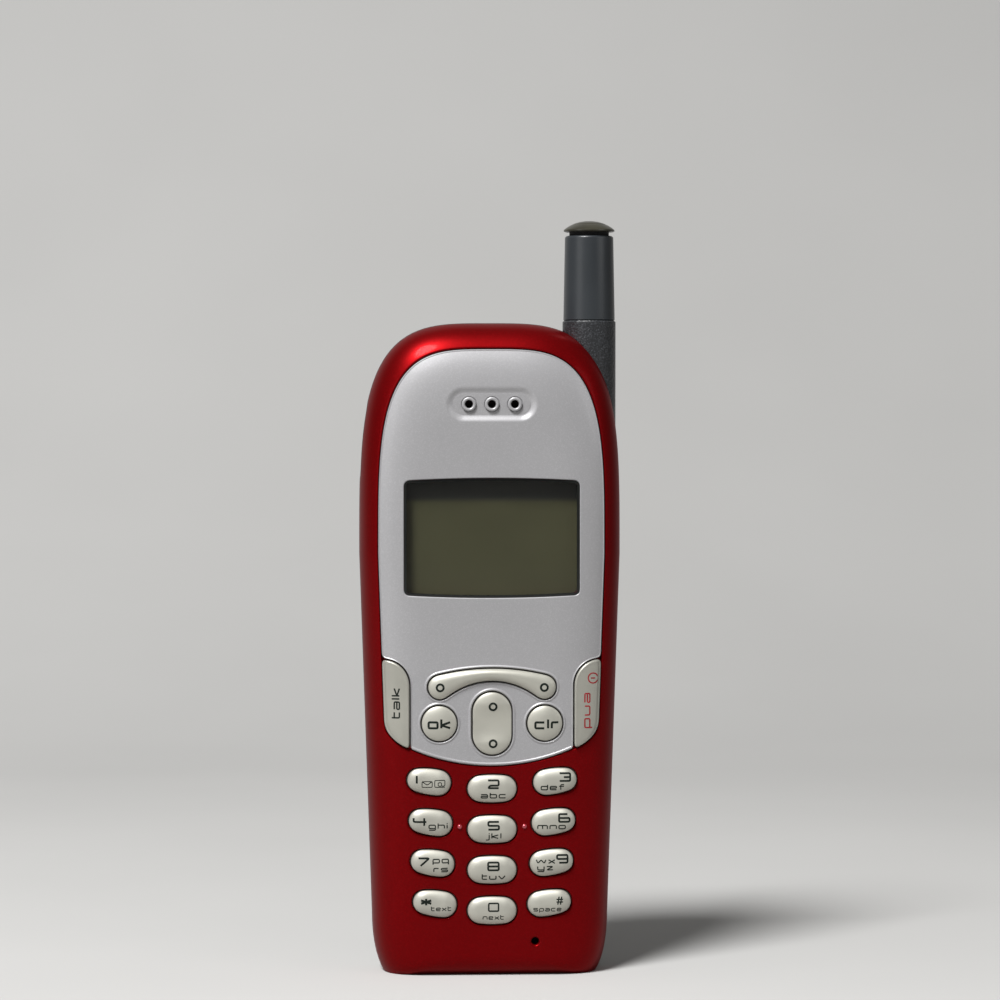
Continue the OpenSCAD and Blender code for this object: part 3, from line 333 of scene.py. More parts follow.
def leaning_egg(column):
    """An outer number key: narrow at its outer end and tilted."""
    outer_r, inner_r, width = 2.2, 2.42, 8.32
    span = width - outer_r - inner_r
    x = outer_r - width / 2
    lean = math.degrees(math.asin((inner_r - outer_r) / span))
    outer = arc(x, 0, outer_r, 90 + lean, 270 - lean)
    inner = arc(x + span, 0, inner_r, -90 - lean, 90 + lean)
    points = np.vstack([outer, bowed(outer[-1], inner[0], KEY_BULGE), inner,
                        bowed(inner[-1], outer[0], KEY_BULGE)])
    turn = math.radians(-SIDE_KEY_TILT)
    points = points @ np.array([[math.cos(turn), math.sin(turn)], [-math.sin(turn), math.cos(turn)]])
    shape = Outline([points], soften=4)
    return shape if column < 0 else shape.mirrored()


def number_place(column, row):
    x = column * (COLUMN_PITCH - COLUMN_TAPER * (3 - row) ** 1.2)
    return x, PAD_Z + row * ROW_PITCH + abs(column) * COLUMN_LIFT


def number_outline(column, row):
    shape = oval(MIDDLE_KEY_W, MIDDLE_KEY_H, KEY_BULGE, 4) if column == 0 else leaning_egg(column)
    return shape.moved(*number_place(column, row))


def round_outline(side):
    return disc(side * ROUND_KEY_X, CONTROL_Z, ROUND_KEY_R, 72, CURVE_STEP)


def nav_outline():
    return upright_oval(NAV_W, NAV_H).moved(0, CONTROL_Z)


def bar_outline():
    """The soft-key bar: two round ends and an arch, blended on the lower side."""
    top_z, sag = BAR_Z + BAR_RISE, BAR_RISE - BAR_END_R
    top_r = (BAR_X ** 2 + sag ** 2) / (2 * sag)
    low_x, low_z = BAR_X - 1.45, BAR_Z - 1.65
    low_sag = top_z - BAR_MIDDLE_T - low_z
    low_r = (low_x ** 2 + low_sag ** 2) / (2 * low_sag)
    swing = math.degrees(math.asin(BAR_X / top_r))
    low_swing = math.degrees(math.asin(low_x / low_r)) - 4
    return Outline([
        arc(0, top_z - top_r, top_r, 90 - swing, 90 + swing),
        arc(-BAR_X, BAR_Z, BAR_END_R, 100, 285),
        arc(0, top_z - BAR_MIDDLE_T - low_r, low_r, 90 + low_swing, 90 - low_swing),
        arc(BAR_X, BAR_Z, BAR_END_R, -105, 80),
    ], soften=10)


def side_key_outline():
    """The right side key: it follows the casing outside and has a round upper inner corner."""
    tip = math.degrees(math.acos((SIDE_EDGE_X - SIDE_LOW_X) / SIDE_LOW_R))
    outer = [[side_x(FASCIA_S, z), z] for z in np.linspace(SIDE_LOW_Z - 3, SIDE_TOP_Z, 30)]
    return Outline([
        arc(SIDE_LOW_X, SIDE_LOW_Z, SIDE_LOW_R, -tip, -SIDE_MEET),
        outer,
        arc(SIDE_EDGE_X + SIDE_TOP_R, SIDE_TOP_Z - SIDE_TOP_R, SIDE_TOP_R, 90, 180),
    ], soften=3)


def fascia_arc(end_x, grow=0.0):
    """The fascia's bottom arc from the middle to a point end_x to the right."""
    r = FASCIA_ARC_R + grow
    return arc(0, FASCIA_ARC_Z, r, -90, -math.degrees(math.acos(end_x / r)), 60)


def fascia_outline():
    inner_x, top_r = SIDE_EDGE_X - KEY_GAP, SIDE_TOP_R + KEY_GAP
    top_z = SIDE_TOP_Z + KEY_GAP
    right = np.vstack([
        fascia_arc(inner_x, -FASCIA_GAP),
        arc(inner_x + top_r, top_z - top_r, top_r, 180, 90),
        line_at(FASCIA_S, top_z, BODY_H),
    ])
    return Outline(both_sides(right), soften=4)


def opening_outline():
    """The edge of the front cover around the fascia and the two side keys."""
    right = np.vstack([
        fascia_arc(SIDE_EDGE_X),
        arc(SIDE_LOW_X, SIDE_LOW_Z, SIDE_LOW_R + KEY_GAP, -71, -SIDE_MEET),
        line_at(FASCIA_S - FASCIA_GAP, SIDE_LOW_Z - 2.6, BODY_H),
    ])
    return Outline(both_sides(right), soften=4)


def window_outline(inset=0.0):
    """The window: bowed above and below, with small round corners."""
    half_w, half_h = WINDOW_HALF_W - inset, WINDOW_HALF_H - inset
    bow, corner_r = WINDOW_BOW, WINDOW_CORNER_R
    r = (half_w ** 2 + bow ** 2) / (2 * bow)
    x, z = half_w - corner_r, half_h - corner_r + 0.05
    swing = math.degrees(math.asin(x / r))
    return Outline([
        arc(0, WINDOW_Z + half_h + bow - r, r, 90 - swing, 90 + swing),
        arc(-x, WINDOW_Z + z, corner_r, 90 + swing, 180, 16),
        arc(-x, WINDOW_Z - z, corner_r, 180, 270 - swing, 16),
        arc(0, WINDOW_Z - half_h - bow + r, r, -90 - swing, -90 + swing),
        arc(x, WINDOW_Z - z, corner_r, -90 + swing, 0, 16),
        arc(x, WINDOW_Z + z, corner_r, 0, 90 - swing, 16),
    ], soften=1)


def ear_dish_outline():
    return oval(17.2, 6.5).moved(0, EAR_Z)


# ------------------------------------------------------------------ modelling tools

def deselect():
    if bpy.context.object and bpy.context.object.mode != "OBJECT":
        bpy.ops.object.mode_set(mode="OBJECT")
    bpy.ops.object.select_all(action="DESELECT")


def only(piece):
    deselect()
    piece.select_set(True)
    bpy.context.view_layer.objects.active = piece


def named(name):
    """The object that an operator has just added, under its name."""
    piece = bpy.context.object
    piece.name = name
    piece.data.name = name
    return piece


def tidy(piece, merge=True, smooth=35):
    """Merges doubles, turns the faces outwards and shades by angle."""
    only(piece)
    bpy.ops.object.mode_set(mode="EDIT")
    bpy.ops.mesh.select_all(action="SELECT")
    if merge:
        bpy.ops.mesh.remove_doubles(threshold=2e-6)
    bpy.ops.mesh.normals_make_consistent(inside=False)
    bpy.ops.object.mode_set(mode="OBJECT")
    bpy.ops.object.shade_smooth_by_angle(angle=math.radians(smooth))
    return piece


def place_vertices(piece, points):
    """Moves a new piece's vertices to points in millimetres."""
    piece.data.vertices.foreach_set("co", (np.asarray(points, np.float32) * MM).ravel())
    piece.data.update()


def skin(name, rings, caps=False, smooth=35):
    """A surface through rings of as many points each: a grid bent round and stitched to itself."""
    rings = np.asarray(rings, float)
    rings = np.concatenate([rings, rings[:, :1]], axis=1)
    count, around = rings.shape[:2]
    deselect()
    bpy.ops.mesh.primitive_grid_add(x_subdivisions=around - 1, y_subdivisions=count - 1)
    piece = named(name)
    place_vertices(piece, rings.reshape(-1, 3))
    if caps:
        only(piece)
        bpy.ops.object.mode_set(mode="EDIT")
        bpy.ops.mesh.select_all(action="SELECT")
        bpy.ops.mesh.remove_doubles(threshold=2e-6)
        bpy.ops.mesh.select_non_manifold(extend=False)
        bpy.ops.mesh.edge_face_add()
        bpy.ops.mesh.quads_convert_to_tris(quad_method="BEAUTY", ngon_method="BEAUTY")
        bpy.ops.object.mode_set(mode="OBJECT")
    return tidy(piece, smooth=smooth)


def xyz(points, y):
    """Points in X and Z at a depth, which is one number or one for each point."""
    return np.c_[points[:, 0], np.broadcast_to(y, len(points)), points[:, 1]]


def prism(name, points, front, back):
    """A plate with an outline in X and Z, pushed out from front to back."""
    deselect()
    bpy.ops.mesh.primitive_circle_add(vertices=len(points), fill_type="NGON")
    piece = named(name)
    place_vertices(piece, xyz(points, front))
    bpy.ops.object.mode_set(mode="EDIT")
    bpy.ops.mesh.select_all(action="SELECT")
    bpy.ops.mesh.extrude_region_move(TRANSFORM_OT_translate={"value": (0, (back - front) * MM, 0)})
    bpy.ops.object.mode_set(mode="OBJECT")
    return tidy(piece, merge=False)


def block(name, low, high):
    low, high = np.array(low), np.array(high)
    deselect()
    bpy.ops.mesh.primitive_cube_add(
        size=1, location=Vector((low + high) / 2 * MM), scale=Vector((high - low) * MM))
    bpy.ops.object.transform_apply(location=True, rotation=True, scale=True)
    return named(name)


def turned(name, profile, x, y):
    """A piece turned about an upright axis: a circle extruded and resized up its profile."""
    deselect()
    r, z = profile[0]
    bpy.ops.mesh.primitive_circle_add(
        vertices=TURNED_STEPS, radius=r * MM, fill_type="NGON", location=Vector((x, y, z)) * MM)
    piece = named(name)
    bpy.ops.object.transform_apply(location=True, rotation=True, scale=True)
    bpy.ops.object.mode_set(mode="EDIT")
    bpy.ops.mesh.select_all(action="SELECT")
    for next_r, next_z in profile[1:]:
        lift = (0, 0, (next_z - z) * MM)
        bpy.ops.mesh.extrude_region_move(TRANSFORM_OT_translate={"value": lift})
        k = next_r / r
        bpy.ops.transform.resize(value=(k, k, 1), center_override=Vector((x, y, next_z)) * MM)
        r, z = next_r, next_z
    bpy.ops.object.mode_set(mode="OBJECT")
    return tidy(piece)


def tube(name, profile, x, y):
    """A hollow turned piece: circles along a closed profile of radius and height."""
    around = arc(0, 0, 1, 0, 360, TURNED_STEPS + 1)[:-1]
    rings = [np.c_[[x, y] + r * around, np.full(TURNED_STEPS, z)] for r, z in profile]
    return skin(name, rings + rings[:1])


def rod(name, start, end, r, steps=48):
    """A straight round rod between two points."""
    start, end = Vector(start), Vector(end)
    along = end - start
    deselect()
    bpy.ops.mesh.primitive_cylinder_add(
        vertices=steps, radius=r * MM, depth=along.length * MM, location=(start + end) / 2 * MM,
        rotation=along.to_track_quat("Z", "Y").to_euler())
    bpy.ops.object.transform_apply(location=True, rotation=True, scale=True)
    return named(name)


def combine(piece, other, operation="DIFFERENCE"):
    """Cuts another piece out of this one, or keeps or adds it, and uses the other up."""
    only(piece)
    modifier = piece.modifiers.new(operation.lower(), "BOOLEAN")
    modifier.solver = "EXACT"
    modifier.operation = operation
    modifier.object = other
    bpy.ops.object.modifier_apply(modifier=modifier.name)
    bpy.data.objects.remove(other)
    return piece


def joined(name, pieces):
    only(pieces[0])
    if len(pieces) > 1:
        for piece in pieces:
            piece.select_set(True)
        bpy.ops.object.join()
    return named(name)


def lip(outline, reach, drop, depth, steps=8, slope=False, rise=0.0):
    """A closed ring from the face into an opening: rounded, with a rim if asked, or sloped."""
    rings = []
    for step in range(steps + 1):
        t = step / steps
        phi = math.pi / 2 * t
        out, fall = (1 - t, t * t * (3 - 2 * t)) if slope else (1 - math.sin(phi), 1 - math.cos(phi))
        points = outline.grown(reach * out)
        rings.append(xyz(points, face_y(points) + drop * fall - rise * math.sin(math.pi * t) ** 2))
    for offset, low in ((0, depth), (reach, depth), (reach, drop * 0.5)):
        points = outline.grown(offset)
        rings.append(xyz(points, face_y(points) + low))
    rings.append(rings[0])
    return skin("lip", rings)


# ------------------------------------------------------------------ casing forms

def squircle(power, count):
    """Even points along a quarter of a superellipse: pairs of inset and depth, from side to face."""
    a = np.linspace(0, math.pi / 2, 4000)
    curve = np.c_[np.cos(a) ** (2 / power), np.sin(a) ** (2 / power)]
    return np.vstack([resampled(curve, count), [[0, 1]]])


def half_form(toward, step, width, power, face, d, tail, count):
    """A solid half of the casing, d inside its sides: sections from the seam out to its face.

    toward is -1 for the front and 1 for the rear. A whole half has a fine bevel at the seam, and a
    hollow's form can have a tail that runs past it.
    """
    rings = []
    for side, rise in squircle(power, count):
        s = step + width - (width - d) * side
        rings.append(xyz(casing_outline(s, d), SEAM_Y + (face - SEAM_Y) * rise))
    if d == 0:
        bevel = ((SEAM_BEVEL, 0), (SEAM_BEVEL * 0.3, SEAM_BEVEL * 0.3), (0, SEAM_BEVEL))
        rings[:1] = [xyz(casing_outline(step + inward, d), SEAM_Y + toward * out)
                     for inward, out in bevel]
    elif tail:
        rings.insert(0, xyz(casing_outline(step + d, d), SEAM_Y - toward * tail))
    return skin("half_form", rings, caps=True)


def front_form(d=0.0, depth=None, tail=0.0, count=24):
    """The solid space of the front half, d inside its sides and depth inside its face."""
    face = FRONT_Y + (d if depth is None else depth)
    return half_form(-1, SEAM_STEP, FRONT_ROUND, FRONT_POWER, face, d, tail, count)


def rear_form(d=0.0, tail=0.0, count=26):
    """The solid space of the rear half, d inside its surface."""
    return half_form(1, 0.0, REAR_ROUND, REAR_POWER, REAR_Y - d, d, tail, count)


def cut_through(piece, outline, grow, back, front=OUT_Y):
    """Cuts a hole of an outline, grown a little, from front to back."""
    return combine(piece, prism("hole", outline.grown(grow), front, back))


def all_number_keys():
    """Names and places of the twelve keys, from the top row down."""
    names = [["1", "2", "3"], ["4", "5", "6"], ["7", "8", "9"], ["star", "0", "hash"]]
    for line, row_names in enumerate(names):
        for column, name in zip((-1, 0, 1), row_names):
            yield "key_" + name, column, 3 - line


def build_front_cover(shape):
    reach, drop = shape.lip_reach / MM, shape.lip_drop / MM
    inner_y = FRONT_Y + FACE_T
    cover = front_form()
    combine(cover, front_form(WALL, FACE_T, tail=0.1, count=14))
    combine(cover, block("flat", (-17, inner_y, 7.5), (17, 0, 65)))
    combine(cover, block("flat", (-18.2, inner_y, 64.5), (18.2, 0, 102)))

    opening, edge = opening_outline(), 0.35
    pocket = prism("pocket", opening.grown(edge), OUT_Y, SEAM_Y)
    combine(pocket, front_form(FASCIA_T + 0.05))
    combine(cover, pocket)
    lips = [lip(opening, edge, 0.25, FASCIA_T + 0.1)]

    back = inner_y + 0.6
    for _, column, row in all_number_keys():
        hole = number_outline(column, row).widened(KEY_GAP)
        cut_through(cover, hole, reach, back)
        lips.append(lip(hole, reach, drop, FACE_T - 0.05))
    for outline in (side_key_outline(), side_key_outline().mirrored(), *control_outlines()):
        cut_through(cover, outline, KEY_GAP, back + 0.5)
    cut_through(cover, window_outline(0.3), 0, back)
    for x in EAR_HOLES_X:
        combine(cover, rod("hole", (x, OUT_Y, EAR_Z), (x, back, EAR_Z), EAR_HOLE_R))

    mic_x, _, mic_z = sum(frame_box("microphone")) / 2
    mic, mic_edge = disc(mic_x, mic_z, 0.7, 40), 0.5
    cut_through(cover, mic, mic_edge, back)
    lips.append(lip(mic, mic_edge, 0.45, FACE_T - 0.1))
    combine(cover, barrel("barrel_room", grow=0.1))
    combine(cover, jack_room())
    return tidy(joined("cover_shell", [cover, *lips]), merge=False)


def control_outlines():
    return round_outline(-1), round_outline(1), nav_outline(), bar_outline()


def nib(x, z, r=0.48, h=0.4):
    """A small dome that a thumb can feel, sunk a little into the face."""
    y = face_y(np.array([[x, z]]))[0]
    rings = []
    for phi in np.radians(np.linspace(-20, 80, 8)):
        ring = arc(x, z, r * math.cos(phi), 0, 360, 25)[:-1]
        rings.append(xyz(ring, y - h * math.sin(phi)))
    return skin("nib", rings, caps=True)


def build_nibs():
    """The two nibs beside the middle key."""
    return joined("thumb_nibs", [nib(side * 6.15, PAD_Z + 2 * ROW_PITCH + 0.5) for side in (-1, 1)])


def build_fascia():
    edge, outline = 0.34, fascia_outline()
    plate = front_form()
    combine(plate, prism("outline", outline.grown(-edge), OUT_Y, SEAM_Y), "INTERSECT")
    combine(plate, front_form(FASCIA_T))
    parts = [lip(outline, -edge, 0.3, FASCIA_T, steps=12, rise=0.18)]
    for hole, reach in zip(control_outlines(), (0.6, 0.6, 0.7, 0.6)):
        hole.widened(KEY_GAP)
        cut_through(plate, hole, reach, SEAM_Y)
        parts.append(lip(hole, reach, 0.35, FASCIA_T + 0.2, steps=12, rise=0.25))
    window, window_edge = window_outline().widened(0.05), 0.22
    cut_through(plate, window, window_edge, SEAM_Y)
    parts.append(lip(window, window_edge, 0.2, FASCIA_T))

    dish_edge, dish_depth, foot = 1.5, 0.5, FASCIA_T - 0.05
    dish = ear_dish_outline().widened(0.15 - dish_edge)
    cut_through(plate, dish, dish_edge, SEAM_Y)
    parts.append(lip(dish, dish_edge, dish_depth, foot, slope=True, steps=12))
    floor = prism("floor", dish.grown(0.02), FRONT_Y + dish_depth, FRONT_Y + foot)
    for x in EAR_HOLES_X:
        hole = disc(x, EAR_Z, EAR_HOLE_R, 49)
        cut_through(floor, hole, EAR_RIM + EAR_GROOVE, SEAM_Y)
        parts.append(ear_ring(hole, FRONT_Y + dish_depth))
    parts.append(fascia_bead())
    return tidy(joined("fascia_plate", [plate, floor, *parts]), merge=False)


def fascia_bead(width=0.6, height=0.28, sunk=0.03):
    """A fine raised rim along the fascia's bottom arc."""
    right = fascia_arc(SIDE_EDGE_X - KEY_GAP - 0.35, -FASCIA_GAP - 0.36)
    path = np.vstack([(right[1:] * [-1, 1])[::-1], right])
    inward = np.array([0, FASCIA_ARC_Z]) - path
    inward /= np.linalg.norm(inward, axis=1)[:, None]
    rings = []
    for place, side, y in zip(path, inward, face_y(path)):
        ring = []
        for a in np.linspace(0, 2 * math.pi, 16, endpoint=False):
            middle = place + side * width / 2 * math.cos(a)
            ring.append([middle[0], y + sunk - height * math.sin(a), middle[1]])
        rings.append(ring)
    return skin("fascia_bead", rings, caps=True)


def build_display_surround():
    """The black foam frame between the display and the front cover, just inside the window."""
    low, high = frame_box("lens_gasket")
    foam = block("display_surround", low, high)
    cut_through(foam, window_outline(0.35), 0, high[1] + 1, low[1] - 1)
    return tidy(foam, merge=False)


def ear_ring(hole, dish_y):
    """The raised, rounded rim of a sound hole, with a fine groove round its foot."""
    top, floor, groove, foot = FRONT_Y - 0.02, dish_y - 0.01, dish_y + 0.16, dish_y + 0.22
    steps, height = 8, 0.3
    rings = [xyz(hole.grown(0), foot)]
    for step in range(steps + 1):
        phi = math.pi * step / steps
        offset = EAR_RIM / 2 * (1 - math.cos(phi))
        rings.append(xyz(hole.grown(offset), top + height * (1 - math.sin(phi))))
    inner = EAR_RIM + EAR_GROOVE
    outer = inner + 0.03
    rings += [xyz(hole.grown(offset), y) for offset, y in (
        (EAR_RIM, groove), (inner, groove), (inner, floor), (outer, floor), (outer, foot))]
    return skin("ear_ring", [*rings, rings[0]])


def barrel(name, grow=0.0):
    """The antenna's barrel with its tapered lower end."""
    r, foot_r, top = BARREL_R + grow, BARREL_FOOT_R + grow, BARREL_TOP
    profile = [(foot_r, top - BARREL_LENGTH), (r, top - BARREL_STRAIGHT), (r, top - 0.3 + grow),
               (r - 0.25, top + grow)]
    return turned(name, profile, ANTENNA_X, ANTENNA_Y)


def side_or_arch_x(s, z):
    """The half width of the casing's outline at heights on its side or its arch."""
    w, high = HALF_W - s, BODY_H - TOP_LEAN * s
    rise = np.clip((z - SHOULDER_Z) / (high - SHOULDER_Z), 0, 1)
    return np.where(z < SHOULDER_Z, side_x(s, z), w * (1 - rise ** ARCH_POWER) ** (1 / ARCH_POWER))


def jack_form(name, s, grow):
    """The jack cover's long oval in Y and Z, as a block that ends s inside the casing's side."""
    r = JACK_R + grow
    points = np.vstack([arc(SEAM_Y, JACK_Z + JACK_REACH, r, 0, 180, 24),
                        arc(SEAM_Y, JACK_Z - JACK_REACH, r, 180, 360, 24)])
    inner = np.full(len(points), JACK_INNER_X)
    outer = -side_or_arch_x(s, points[:, 1])
    return skin(name, [np.c_[x, points] for x in (inner, outer)], caps=True)


def jack_room():
    """What the jack cover takes out of the side of both shells."""
    return combine(jack_form("jack_room", -2, 0.1), jack_form("jack_core", 1.2, 0.3))


def build_rear_housing():
    gap, wall, out = 0.15, 1.2, REAR_Y + 1
    shell = rear_form()
    pack_low, pack_high = frame_box("battery_shell")
    bay_low, bay_high = pack_low - gap, pack_high + gap
    latch_low, latch_high = frame_box("battery_latch")
    room_low = latch_low + [-gap, 0, 3.0]
    room_high = np.array([latch_high[0] + gap, out, latch_high[2] + 1.65])
    inside = rear_form(WALL, tail=0.1, count=14)
    combine(inside, block("bay", bay_low - [wall, 1.05, wall],
                          [bay_high[0] + wall, REAR_Y, bay_high[2] + wall]))
    combine(inside, block("latch", room_low - [wall, wall, 1.5], room_high + [wall, 0, wall]))
    combine(shell, inside)
    combine(shell, barrel("barrel"), "UNION")
    combine(shell, block("bay", bay_low, [bay_high[0], out, bay_high[2]]))
    combine(shell, block("latch", [room_low[0], room_low[1], latch_low[2] + wall], room_high))
    for x, z in screw_spots():
        combine(shell, rod("well", (x, 3.2, z), (x, out, z), 1.8))
    low, high = frame_box("system_connector")
    combine(shell, block("socket", low - [0.1, 0.1, 1], high + [0.1, 0.1, -5]))
    for r, drop, over in ((3.05, 16, 1), (2.1, 40, 0)):
        ends = [(ANTENNA_X, ANTENNA_Y, BARREL_TOP + z) for z in (-drop, over)]
        combine(shell, rod("bore", *ends, r))
    combine(shell, jack_room())
    tidy(shell, merge=False)
    return named("rear_shell")


def screw_spots():
    """Middles of the four screws, from the loose parts of their shared node."""
    mesh = frame["nodes"]["screws"].data
    places = np.array([v.co for v in mesh.vertices]) / MM
    spots = []
    for x_side in (-1, 1):
        for z_side in (-1, 1):
            part = places[(places[:, 0] * x_side > 0) & ((places[:, 2] - BODY_H / 2) * z_side > 0)]
            x, _, z = (part.min(0) + part.max(0)) / 2
            spots.append((x, z))
    return spots


def build_battery_shell():
    low, high = frame_box("battery_shell")
    wall = 1.0
    shell = rear_form()
    combine(shell, block("pack", low, high + [0, 1, 0]), "INTERSECT")
    hollow = rear_form(wall, count=14)
    combine(hollow, block("inside", low + [wall, -0.1, wall], high - [wall, 0, wall]), "INTERSECT")
    combine(shell, hollow)
    tidy(shell, merge=False)
    return named("battery_case")


def build_sleeve():
    """The smooth sleeve over the antenna's coil, with a rounded top edge and a bore for the whip."""
    edge, top, low = 0.5, SLEEVE_TOP - CAP_DROP, BARREL_TOP + 0.02
    r, foot_r, bore_r, coil_r, whip_r = 4.65, 4.93, 2.2, 3.6, 1.3
    rounding = [(r - edge + edge * math.cos(a), top - edge + edge * math.sin(a))
                for a in np.linspace(0, math.pi / 2, 8)]
    profile = [(bore_r, low), (4.75, low), (foot_r, low + 0.16), (foot_r, low + 0.3), *rounding,
               (whip_r, top), (whip_r, top - 0.8), (coil_r, top - 0.8),
               (coil_r, low + 0.6), (bore_r, low + 0.6)]
    return tube("antenna_stub", profile, ANTENNA_X, ANTENNA_Y)


def build_cap():
    """The whip's mushroom cap: a flat dome with a fine step in it over a thin rim."""
    r, low, rim, step = 4.88, CAP_RIM_Z, 0.42, 0.06
    h = CAP_TOP - CAP_DROP - low
    neck_r, whip_r, middle = 3.8, 0.93, 0.02

    def dome(*radii, foot=rim):
        return [(x, low + foot + (h - rim) * (1 - (x / r) ** 2.3)) for x in radii]

    edge = [(r - 0.06 + 0.06 * math.cos(a), low + 0.25 + 0.2 * math.sin(a)) for a in (0, 0.8)]
    foot = SLEEVE_TOP - CAP_DROP + 0.05
    profile = [(whip_r, foot), (neck_r, foot), (neck_r, low), (r - 0.25, low), (r, low + 0.12), *edge,
               *dome(4.6, 4.3, 4.0, 3.7, 3.45), *dome(3.3, foot=rim - step),
               *dome(3.15, 2.6, 1.8, 0.9, middle), (middle, low + 1), (whip_r, low + 1)]
    return tube("antenna_button", profile, ANTENNA_X, ANTENNA_Y)


# ------------------------------------------------------------------ keys

def nearest(points, spine):
    """For each point, the point of the spine that lies nearest to it."""
    away = np.linalg.norm(points[:, None] - spine[None], axis=2)
    return spine[away.argmin(1)]


def post(x, z, start, foot):
    """The leg on the back of a key that presses its dome."""
    return rod("post", (x, start, z), (x, foot, z), POST_R)


def key_form(name, outline, spine, edge_y, top, posts, dome=0.5, rocker=False, count=14, last=0.95):
    """A key: a flange behind the face, an upright wall and a top that swells towards the spine.

    top gives the Y that the crown reaches at points in X and Z; spine is a row of such points.
    The swell is part superellipse, which is steep at the edge, and part dome.
    """
    flange = FLANGE_Y + (0.4 if rocker else 0)
    points = outline.grown(0)
    target = nearest(points, spine)
    rings = [xyz(outline.grown(offset), flange + y) for offset, y in (
        (0.5, 0.5), (0.55, 0.45), (0.55, 0.05), (0.5, 0), (0, 0))]
    rings.append(xyz(points, edge_y))
    for k in range(1, count + 1):
        t = last * (k / count) ** 1.7
        places = points + (target - points) * t
        low = 1 - t
        swell = (1 - dome) * (1 - low ** 2) ** 0.5 + dome * (1 - low ** 2)
        rings.append(xyz(places, edge_y + (top(places) - edge_y) * swell))
    foot = ROCKER_FOOT_Y if rocker else KEY_FOOT_Y
    body = skin(name, rings, caps=True, smooth=40)
    return joined(name, [body, *[post(x, z, flange + 0.4, foot) for x, z in posts]])


def level(y):
    """The top of a key whose crown lies at one depth."""
    return lambda points: np.full(len(points), float(y))


def line(start, end, count=80):
    return np.linspace(start, end, count)


def build_number_key(name, column, row, shape):
    x, z = number_place(column, row)
    if column == 0:
        spine = line((x - 2.05, z), (x + 2.05, z))
    else:
        turn = math.radians(-SIDE_KEY_TILT) * -column
        lean = np.array([math.cos(turn), math.sin(turn)])
        left, right = (1.85, 1.6) if column < 0 else (1.6, 1.85)
        spine = line((x, z) - left * lean, (x, z) + right * lean)
    crown = shape.key_crown / MM
    return key_form(name, number_outline(column, row), spine, KEY_TOP + crown, level(KEY_TOP + INK),
                    [(x, z)])


def build_round_key(name, side, shape):
    x = side * ROUND_KEY_X
    crown = shape.key_crown / MM - 0.15
    return key_form(name, round_outline(side), np.array([[x, CONTROL_Z]]), KEY_TOP + crown,
                    level(KEY_TOP + INK), [(x, CONTROL_Z)], dome=0.6, count=18, last=0.97)


def nav_top(points):
    """The rocker's dished top: high at both ends and hollow between them."""
    along = (points[:, 1] - CONTROL_Z) / (NAV_H / 2)
    return KEY_TOP + INK + 0.7 * (1 - np.clip(np.abs(along) / 0.62, 0, 1) ** 2)


def build_nav_key():
    reach = 2.25
    spine = line((0, CONTROL_Z - reach), (0, CONTROL_Z + reach))
    ends = NAV_H / 2 - 2.45
    return key_form("nav_rocker_key", nav_outline(), spine, KEY_TOP + 0.75, nav_top,
                    [(0, CONTROL_Z - ends), (0, CONTROL_Z + ends)], dome=0.4, rocker=True)


def build_soft_bar():
    """The arched bar: a tube-like swell that is steep above and runs out softly below."""
    x = np.linspace(-BAR_X, BAR_X, 120)
    crest = BAR_Z + 0.12 + (BAR_RISE - BAR_MIDDLE_T / 2 - 0.05) * (1 - (np.abs(x) / BAR_X) ** 2.0)
    return key_form("soft_bar_key", bar_outline(), np.c_[x, crest], KEY_TOP + 0.8,
                    level(KEY_TOP + 0.02), [(-BAR_X, BAR_Z), (BAR_X, BAR_Z)], rocker=True)


def build_side_key(name, side, shape):
    """A talk or end key: its top follows the casing's rounding, with a narrow rounded edge."""
    outline = side_key_outline()
    if side < 0:
        outline = outline.mirrored()
    spine = line((side * 16.9, CONTROL_Z - 2.2), (side * 18.4, CONTROL_Z + 8.6))
    edge, rise, sag = shape.side_key_edge / MM, 0.68, 0.04
    points = outline.grown(0)
    rings = [xyz(points, FLANGE_Y + 0.5), xyz(points, face_y(points) - rise + edge)]
    for phi in np.linspace(0, math.pi / 2, 7)[1:]:
        ring = outline.grown(-edge * (1 - math.cos(phi)))
        rings.append(xyz(ring, face_y(points) - rise + edge * (1 - math.sin(phi))))
    start, target = outline.grown(-edge), nearest(points, spine)
    for t in np.linspace(0, 0.95, 12)[1:]:
        ring = start + (target - start) * t
        rings.append(xyz(ring, face_y(ring) - rise - sag * t))
    body = skin(name, rings, caps=True, smooth=40)
    leg = post(side * (SIDE_EDGE_X + 1.2), CONTROL_Z + 4.4, FLANGE_Y + 0.4, KEY_FOOT_Y)
    inner, outer = sorted((side * (SIDE_EDGE_X - 0.77), side * (SIDE_EDGE_X + 1)))
    flange = block("flange", (inner, FLANGE_Y, CONTROL_Z - 1.1),
                   (outer, FLANGE_Y + 0.5, CONTROL_Z + 7.2))
    return joined(name, [body, leg, flange])


# ------------------------------------------------------------------ printed signs

